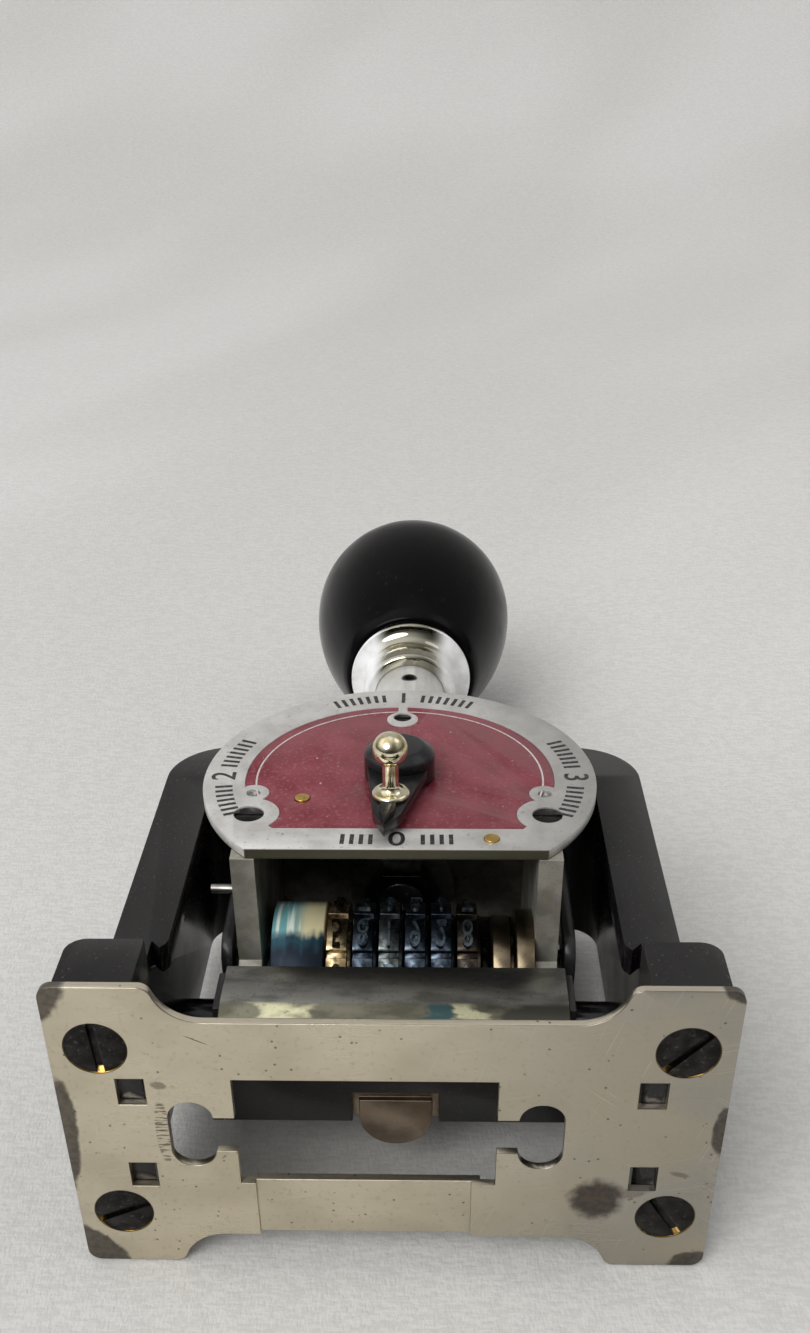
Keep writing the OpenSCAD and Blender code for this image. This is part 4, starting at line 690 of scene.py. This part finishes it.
def figure_tree():
    """Raised figures round an axis along X, each cut in reverse and standing on its block."""
    tree, given, add = node_group("raised_figures", "First figure", (
        "Middle", "Axis height", "Foot radius", "Proud", "Figure size", "Figure width"))
    width = add("ShaderNodeCombineXYZ", None, {"X": given["Figure width"], "Y": -1.0, "Z": 1.0})[0]
    lift = add("ShaderNodeCombineXYZ", None, {"Z": given["Foot radius"]})[0]
    spot = add("ShaderNodeCombineXYZ", None, {"X": given["Middle"], "Z": given["Axis height"]})[0]
    joined = tree.nodes.new("GeometryNodeJoinGeometry")
    for figure in range(figure_count):
        drawn = add("GeometryNodeStringToCurves", {"align_x": "CENTER", "align_y": "MIDDLE"},
                    {"String": str(figure), "Size": given["Figure size"]})["Curve Instances"]
        loose = add("GeometryNodeRealizeInstances", None, {0: drawn})[0]
        fewer = add("GeometryNodeSetSplineResolution", None, {"Geometry": loose, "Resolution": 4})[0]
        flat = add("GeometryNodeFillCurve", None, {"Curve": fewer})[0]
        raised = add("GeometryNodeExtrudeMesh", None,
                     {"Mesh": flat, "Offset Scale": given["Proud"], "Individual": False})[0]
        under = add("GeometryNodeFlipFaces", None, {0: flat})[0]
        both = tree.nodes.new("GeometryNodeJoinGeometry")
        tree.links.new(raised, both.inputs[0])
        tree.links.new(under, both.inputs[0])
        solid = add("GeometryNodeMergeByDistance", None,
                    {"Geometry": both.outputs[0], "Distance": 1e-6})[0]
        stood = add("GeometryNodeTransform", None,
                    {"Geometry": solid, "Translation": lift, "Scale": width})[0]
        turns = add("ShaderNodeMath", {"operation": "SUBTRACT"},
                    {0: float(figure), 1: given["First figure"]})[0]
        angle = add("ShaderNodeMath", {"operation": "MULTIPLY"},
                    {0: turns, 1: 2 * math.pi / figure_count})[0]
        turn = add("ShaderNodeCombineXYZ", None, {"X": angle})[0]
        round_axis = add("GeometryNodeTransform", None,
                         {"Geometry": stood, "Translation": spot, "Rotation": turn})[0]
        tree.links.new(round_axis, joined.inputs[0])
    give_out(tree, add, joined.outputs[0], given["Finish"])
    return tree


def grown(name, tree, inputs, body):
    """What a Geometry Nodes tree makes, as a plain mesh piece that rides on a body."""
    seed = linked(name, bpy.data.meshes.new(name + "_seed"))
    nodes = seed.modifiers.new("grow", "NODES")
    nodes.node_group = tree
    for socket in tree.interface.items_tree:
        if socket.in_out == "INPUT":
            nodes[socket.identifier] = inputs[socket.name]
    view = bpy.context.evaluated_depsgraph_get()
    mesh = bpy.data.meshes.new_from_object(seed.evaluated_get(view))
    seed.modifiers.remove(nodes)
    seed.data = mesh
    form = bmesh.new()
    form.from_mesh(mesh)
    bmesh.ops.remove_doubles(form, verts=form.verts, dist=1e-6)
    bmesh.ops.recalc_face_normals(form, faces=form.faces)
    form.to_mesh(mesh)
    form.free()
    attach(seed, body)


raised_figures = figure_tree()
slate = wheel_steel("slate_wheel_steel", tone(84, 94, 106), tone(50, 58, 68))
greyed = wheel_steel("grey_wheel_steel", tone(128, 134, 134), tone(84, 90, 92))
straw = wheel_steel("straw_wheel_steel", tone(214, 192, 150), tone(160, 138, 104))
brown = wheel_steel("brown_wheel_steel", tone(84, 76, 66), tone(54, 48, 42))
pale_face = wheel_steel("rubbed_figure_steel", tone(150, 166, 176), tone(70, 80, 90))
dark_face = wheel_steel("inked_figure_steel", tone(60, 52, 46), tone(36, 32, 30))
first_figures = [2, 5, 8, 6, 9, 5]
type_set = {"Foot radius": 0.009, "Proud": 0.00049, "Figure size": 0.0056, "Figure width": 0.54}
ratchet_side = 0.0002
for i, first in enumerate(first_figures, 1):
    steel = {1: straw, 3: greyed, 6: brown}.get(i, slate)
    eased(f"number_wheel_{i}", steel, 0.06, 30.0, 1)
    low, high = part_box(f"number_wheel_{i}")
    centre = (low + high) / 2
    grown(f"wheel_{i}_figures", raised_figures, {
        **type_set, "Middle": centre.x - ratchet_side, "Axis height": centre.z, "First figure": first,
        "Finish": dark_face if i == 1 else pale_face}, f"wheel_{i}")


# ---- Pawl rocker and feed pawl -----------------------------------------------------------------
# Two thin steel arms swing on the wheel shaft and carry a bar behind the wheels. The pawl on it
# has a tooth for each ratchet ring, and steps the wheels after a stroke.
eased("pawl_rocker", screw_steel, 0.08)
eased("feed_pawl", head_steel, 0.08)


# ---- Dial --------------------------------------------------------------------------------------
# A nickel-silver plate screwed to the front of the head. Its middle is etched down and filled with
# crimson enamel, its rim keeps the bare metal with plain numbers and graduations cut in and
# filled with black. Two dowels, three screws and two brass rivets show on its face.
eased("dial_bracket", screw_steel, 0.20)
eased("bracket_screws", screw_steel, 0.08)
rim_silver, rim_shader, rim_place = finish("dial_rim_silver", tone(198, 197, 195), 0.4, 0.5)
rim_cloud = grain(rim_place, 4.0, 4.0)
rim_fine = grain(rim_place, 0.5, 3.0)
rim_line = grain(rim_place, 0.18, 1.0, (30, 1, 1))
rim_mark = ease(grain(rim_place, 0.9, 3.0, (1, 1, 1), (2, 2, 9)), 0.64, 0.72)
rim_tone = blend(ease(rim_cloud, 0.35, 0.68), tone(220, 218, 215), tone(200, 197, 193))
rim_tone = blend(ease(rim_fine, 0.6, 0.72) * 0.45, rim_tone, tone(140, 132, 124))
rim_tone = blend(rim_mark * 0.5, rim_tone, tone(104, 92, 82))
x, y, z = apart(rim_place)
# The right side is darker as painted shade. The straight foot and the edge behind the face are darker too
rim_tone = blend(ease(x, -4.0, 26.0) * 0.6, rim_tone, tone(146, 143, 139))
rim_tone = blend(ease(z, 25.3, 25.16), rim_tone, tone(92, 89, 72))
rim_tone = blend(ease(y, -19.0, -18.82), rim_tone, tone(70, 68, 58))
rim_place.feed(rim_shader.inputs["Base Color"], rim_tone)
rim_place.feed(rim_shader.inputs["Roughness"], rim_cloud * 0.12 + 0.34 + (rim_line - 0.5) * 0.1)
dent(rim_shader, rim_line * 0.4 + rim_fine * 0.4 - rim_mark, 0.14, 0.00003)
eased("dial_plate", rim_silver, 0.12)

crimson, crimson_shader, crimson_place = finish("crimson_enamel", tone(128, 34, 46), 0.34, 0.0)
fade = ease(grain(crimson_place, 5.0, 4.0), 0.32, 0.7)
dusty = ease(grain(crimson_place, 0.5, 3.0, (1, 1, 1), (1, 7, 2)), 0.52, 0.68)
chip = ease(grain(crimson_place, 0.7, 3.0, (1, 1, 1), (8, 1, 4)), 0.70, 0.74)
crimson_tone = blend(fade, tone(112, 32, 44), tone(134, 60, 70))
crimson_tone = blend(dusty * 0.3, crimson_tone, tone(168, 124, 130))
crimson_place.feed(crimson_shader.inputs["Base Color"], blend(chip * 0.8, crimson_tone, tone(190, 182, 178)))
crimson_place.feed(crimson_shader.inputs["Roughness"], fade * 0.15 + 0.28 + dusty * 0.15)
dent(crimson_shader, grain(crimson_place, 1.0, 2.0) + dusty * 0.2 - chip, 0.12, 0.00004)
eased("dial_field", crimson, 0.05)
eased("dial_screws", screw_steel, 0.06)
eased("dial_dowels", rod_steel, 0.06)
rivet_brass = turned("rivet_brass", tone(206, 172, 96), 0.3, (1, 1, 1))
eased("dial_rivets", rivet_brass, 0.08)

black_fill, fill_shader, fill_place = finish("black_wax_fill", tone(34, 32, 34), 0.5)
fill_place.feed(fill_shader.inputs["Base Color"], blend(
    ease(grain(fill_place, 0.35, 3.0), 0.5, 0.7), tone(30, 28, 30), tone(92, 88, 86)))
dent(fill_shader, grain(fill_place, 0.3, 2.0), 0.2, 0.00003)
white_line, white_shader, white_place = finish("white_enamel_line", tone(206, 198, 196), 0.45)
white_place.feed(white_shader.inputs["Base Color"], blend(
    ease(grain(white_place, 0.4, 3.0), 0.5, 0.7), tone(208, 202, 200), tone(170, 142, 142)))
dent(white_shader, grain(white_place, 0.3, 2.0), 0.2, 0.00003)
dial_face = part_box("dial_plate")[0].y
field_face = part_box("dial_field")[0].y
dial_z, dial_r, field_r = 0.042, 0.0241, 0.019
rim_middle = (dial_r + field_r) / 2
bottom_row_z = 0.0274
wax_depth = 0.00003
numeral_size = 0.0042


def cut_figure(name, words, at, turn):
    """A plain numeral in the dial's rim, at an X and Z, turned about the dial's own axis."""
    curve = bpy.data.curves.new(name, "FONT")
    curve.body, curve.size = words, numeral_size
    curve.align_x, curve.align_y = "CENTER", "CENTER"
    curve.offset = 0.00004
    curve.extrude = wax_depth / 2
    drawn = linked(name + "_curve", curve)
    view = bpy.context.evaluated_depsgraph_get()
    mesh = bpy.data.meshes.new_from_object(drawn.evaluated_get(view))
    bpy.data.objects.remove(drawn)
    mesh.transform(Matrix.Translation((at[0], dial_face - wax_depth / 2 + 0.00001, at[1]))
                   @ Matrix.Rotation(math.radians(turn), 4, "Y") @ Matrix.Rotation(math.pi / 2, 4, "X"))
    mesh.materials.clear()
    mesh.materials.append(black_fill)
    made = linked(name, mesh)
    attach(made, "head")


for mark, words, turn in (("top", "1", 0), ("left", "2", -90), ("right", "3", 90)):
    a = math.radians(turn)
    cut_figure("dial_number_" + mark, words,
               (rim_middle * math.sin(a), dial_z + rim_middle * math.cos(a)), turn)
cut_figure("dial_number_bottom", "0", (0, bottom_row_z), 0)


def strip_tree():
    """Thin bars set out evenly round an arc, each pointing at its middle, facing -Y."""
    tree, given, add = node_group("graduations", "Count", (
        "Radius", "First angle", "Step", "Bar length", "Bar width", "Bar depth", "Front", "Middle height"))

    def reckon(operation, first, second):
        return add("ShaderNodeMath", {"operation": operation}, {0: first, 1: second})[0]

    points = add("GeometryNodePoints", None, {"Count": given["Count"]})[0]
    number = add("GeometryNodeInputIndex")[0]
    angle = reckon("ADD", given["First angle"], reckon("MULTIPLY", number, given["Step"]))
    place = add("ShaderNodeCombineXYZ", None, {
        "X": reckon("MULTIPLY", reckon("SINE", angle, 0.0), given["Radius"]), "Y": given["Front"],
        "Z": reckon("ADD", reckon("MULTIPLY", reckon("COSINE", angle, 0.0), given["Radius"]),
                    given["Middle height"])})[0]
    laid = add("GeometryNodeSetPosition", None, {"Geometry": points, "Position": place})[0]
    size = add("ShaderNodeCombineXYZ", None, {"X": given["Bar width"], "Y": given["Bar depth"],
                                              "Z": given["Bar length"]})[0]
    bar = add("GeometryNodeMeshCube", None, {"Size": size})[0]
    turn = add("ShaderNodeCombineXYZ", None, {"Y": angle})[0]
    bars = add("GeometryNodeInstanceOnPoints", None,
               {"Points": laid, "Instance": bar, "Rotation": turn})[0]
    give_out(tree, add, bars, given["Finish"])
    return tree


graduations = strip_tree()
first_tick, tick_step = 7.0, 2.9
rim_bar = {"Bar length": 0.0021, "Bar width": 0.0005, "Bar depth": wax_depth, "Front": dial_face,
           "Finish": black_fill}
for mark, middle in (("top", 0.0), ("left", -90.0), ("right", 90.0)):
    for side, name in ((-1, "before"), (1, "after")):
        grown(f"dial_ticks_{mark}_{name}", graduations, {
            **rim_bar, "Count": 7, "Radius": rim_middle, "Step": math.radians(side * tick_step),
            "First angle": math.radians(middle + side * first_tick), "Middle height": dial_z},
            "head")
# The bottom bars stand side by side in a row, which is an arc of a very long radius
long_radius = 0.3
row_start, row_step = 0.0100, 0.0036
for side, name in ((-1, "left"), (1, "right")):
    grown(f"dial_ticks_bottom_{name}", graduations, {
        **rim_bar, "Count": 4, "Radius": long_radius, "First angle": math.pi + side * row_start,
        "Step": side * row_step, "Middle height": long_radius + bottom_row_z}, "head")
stripe_count, stripe_arc = 150, math.radians(232)
grown("dial_pinstripe", graduations, {
    "Count": stripe_count, "Radius": 0.0176, "First angle": -stripe_arc / 2,
    "Step": stripe_arc / (stripe_count - 1), "Bar length": 0.00022, "Bar width": 0.00052,
    "Bar depth": wax_depth, "Front": field_face, "Middle height": dial_z, "Finish": white_line},
    "head")


# ---- Selector ----------------------------------------------------------------------------------
# A black hub on the selector shaft carries a leaf pointer that narrows to a ridged tip. A turned
# brass knob is riveted through it, and a notched cam behind the dial holds it at each number.
pointer_enamel = enamelled("pointer_enamel", tone(14, 13, 15), 0.26, 0.1, 0.8)
eased("indicator_hub", pointer_enamel, 0.25, 25.0, 3)
eased("pointer", pointer_enamel, 0.12)
knob_brass, knob_shader, knob_place = finish("polished_brass", tone(214, 190, 120), 0.14, 1.0)
patina = ease(grain(knob_place, 1.2, 3.0), 0.42, 0.72)
knob_place.feed(knob_shader.inputs["Base Color"], blend(patina, tone(238, 230, 200), tone(190, 172, 124)))
knob_place.feed(knob_shader.inputs["Roughness"], patina * 0.16 + 0.1)
dent(knob_shader, grain(knob_place, 0.5, 2.0), 0.08, 0.00003)
eased("indicator_knob", knob_brass, 0.06)
eased("selector_cam", head_steel, 0.08)


# ---- Ink arms and tray -------------------------------------------------------------------------
# Two stamped steel arms with cam slots swing the folded ink tray back as the head comes down. The
# tray is black, and a nickel plate with a sloping lip is spot-welded to its front.
arm_enamel = enamelled("arm_enamel", tone(30, 29, 30), 0.3, 0.16, 1.0)
for arm in ("left_ink_arm", "right_ink_arm"):
    eased(arm, arm_enamel, 0.12)
eased("ink_tray", arm_enamel, 0.12)
front_nickel, front_shader, front_place = finish("streaked_tray_nickel", tone(150, 146, 136), 0.3, 1.0)
x, y, z = apart(front_place)
streak = grain(front_place, 2.0, 3.0, (2.4, 1, 1))
fine = grain(front_place, 0.4, 3.0)
lip = ease(z, 11.6, 10.9)
front_tone = blend(ease(streak, 0.38, 0.66), tone(134, 133, 128), tone(102, 101, 97))
ragged = x + (streak - 0.5) * 9.0
# On the sloping lip a teal band is a painted reflection and pale patches near both ends are painted
# highlights; its right-hand end is darker.
painted_lip_highlight = strongest(ease(ragged, -16.2, -15.0) * (1.0 - ease(ragged, -10.2, -8.6)),
                 ease(ragged, 6.0, 7.0) * (1.0 - ease(ragged, 9.4, 10.6)))
lip_reflection_tone = blend(ease(streak, 0.40, 0.62), tone(122, 119, 104), tone(98, 96, 83))
lip_reflection_tone = blend(ease(ragged, 3.2, 4.4) * (1.0 - ease(ragged, 5.6, 6.6)), lip_reflection_tone, tone(70, 96, 98))
lip_reflection_tone = blend(ease(ragged, 11.0, 13.0), lip_reflection_tone, tone(76, 75, 68))
lip_reflection_tone = blend(painted_lip_highlight * ease(streak, 0.30, 0.52), lip_reflection_tone, tone(206, 203, 168))
front_tone = blend(lip, front_tone, lip_reflection_tone)
front_tone = blend(ease(fine, 0.58, 0.7) * 0.4, front_tone, tone(84, 76, 62))
front_place.feed(front_shader.inputs["Base Color"], front_tone)
front_place.feed(front_shader.inputs["Roughness"], streak * 0.2 + 0.22)
dent(front_shader, fine + streak, 0.15, 0.00003)
eased("tray_front_plate", front_nickel, 0.14)


# ---- Ink pad -----------------------------------------------------------------------------------
# A shallow nickel drawer with a half-round thumb tab slides out of the tray's rear, and holds a
# block of wool felt soaked in violet-black ink.
holder_nickel = grey_nickel("holder_nickel", tone(158, 142, 126), 0.34, tone(150, 124, 104))
eased("pad_holder", holder_nickel, 0.12)
felt, felt_shader, felt_place = finish("inked_felt", tone(30, 24, 44), 0.95, 0.0)
fluff = grain(felt_place, 0.5, 4.0)
fibre = grain(felt_place, 0.18, 2.0, (5, 1, 1))
soaked = ease(grain(felt_place, 4.0, 3.0), 0.35, 0.65)
felt_tone = blend(soaked, tone(22, 18, 32), tone(46, 38, 66))
felt_tone = blend(ease(fluff, 0.5, 0.7) * 0.5, felt_tone, tone(74, 66, 92))
felt_place.feed(felt_shader.inputs["Base Color"], felt_tone)
felt_place.feed(felt_shader.inputs["Roughness"], soaked * 0.25 + 0.7)
dent(felt_shader, fluff + fibre * 0.8, 0.6, 0.00012)
low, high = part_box("felt_pad")
middle, half = (low + high) / 2, (high - low) / 2
round_edge, crown_drop, waist = 0.0009, 0.00022, 0.00015
form = bmesh.new()
bmesh.ops.create_cube(form, size=2.0)
bmesh.ops.subdivide_edges(form, edges=form.edges, cuts=11, use_grid_fill=True)
for v in form.verts:
    at = Vector((v.co.x * half.x, v.co.y * half.y, v.co.z * half.z))
    inner = Vector([max(-h + round_edge, min(h - round_edge, c)) for c, h in zip(at, half)])
    out = at - inner
    if out.length > 1e-9:
        at = inner + out.normalized() * round_edge
    crown = (1 - v.co.x ** 2) * (1 - v.co.y ** 2)
    if v.co.z > 0:
        at.z -= crown_drop * (1 - crown) * v.co.z
    if abs(v.co.z) < 0.99:
        pull = waist * (1 - v.co.z ** 2)
        at.x -= pull * (v.co.x if abs(v.co.x) > 0.99 else 0)
        at.y -= pull * (v.co.y if abs(v.co.y) > 0.99 else 0)
    v.co = middle + at
pad = linked("inked_felt_pad", smooth_mesh(form, "inked_felt_pad", felt))
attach(pad, "pad")
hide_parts("felt_pad")
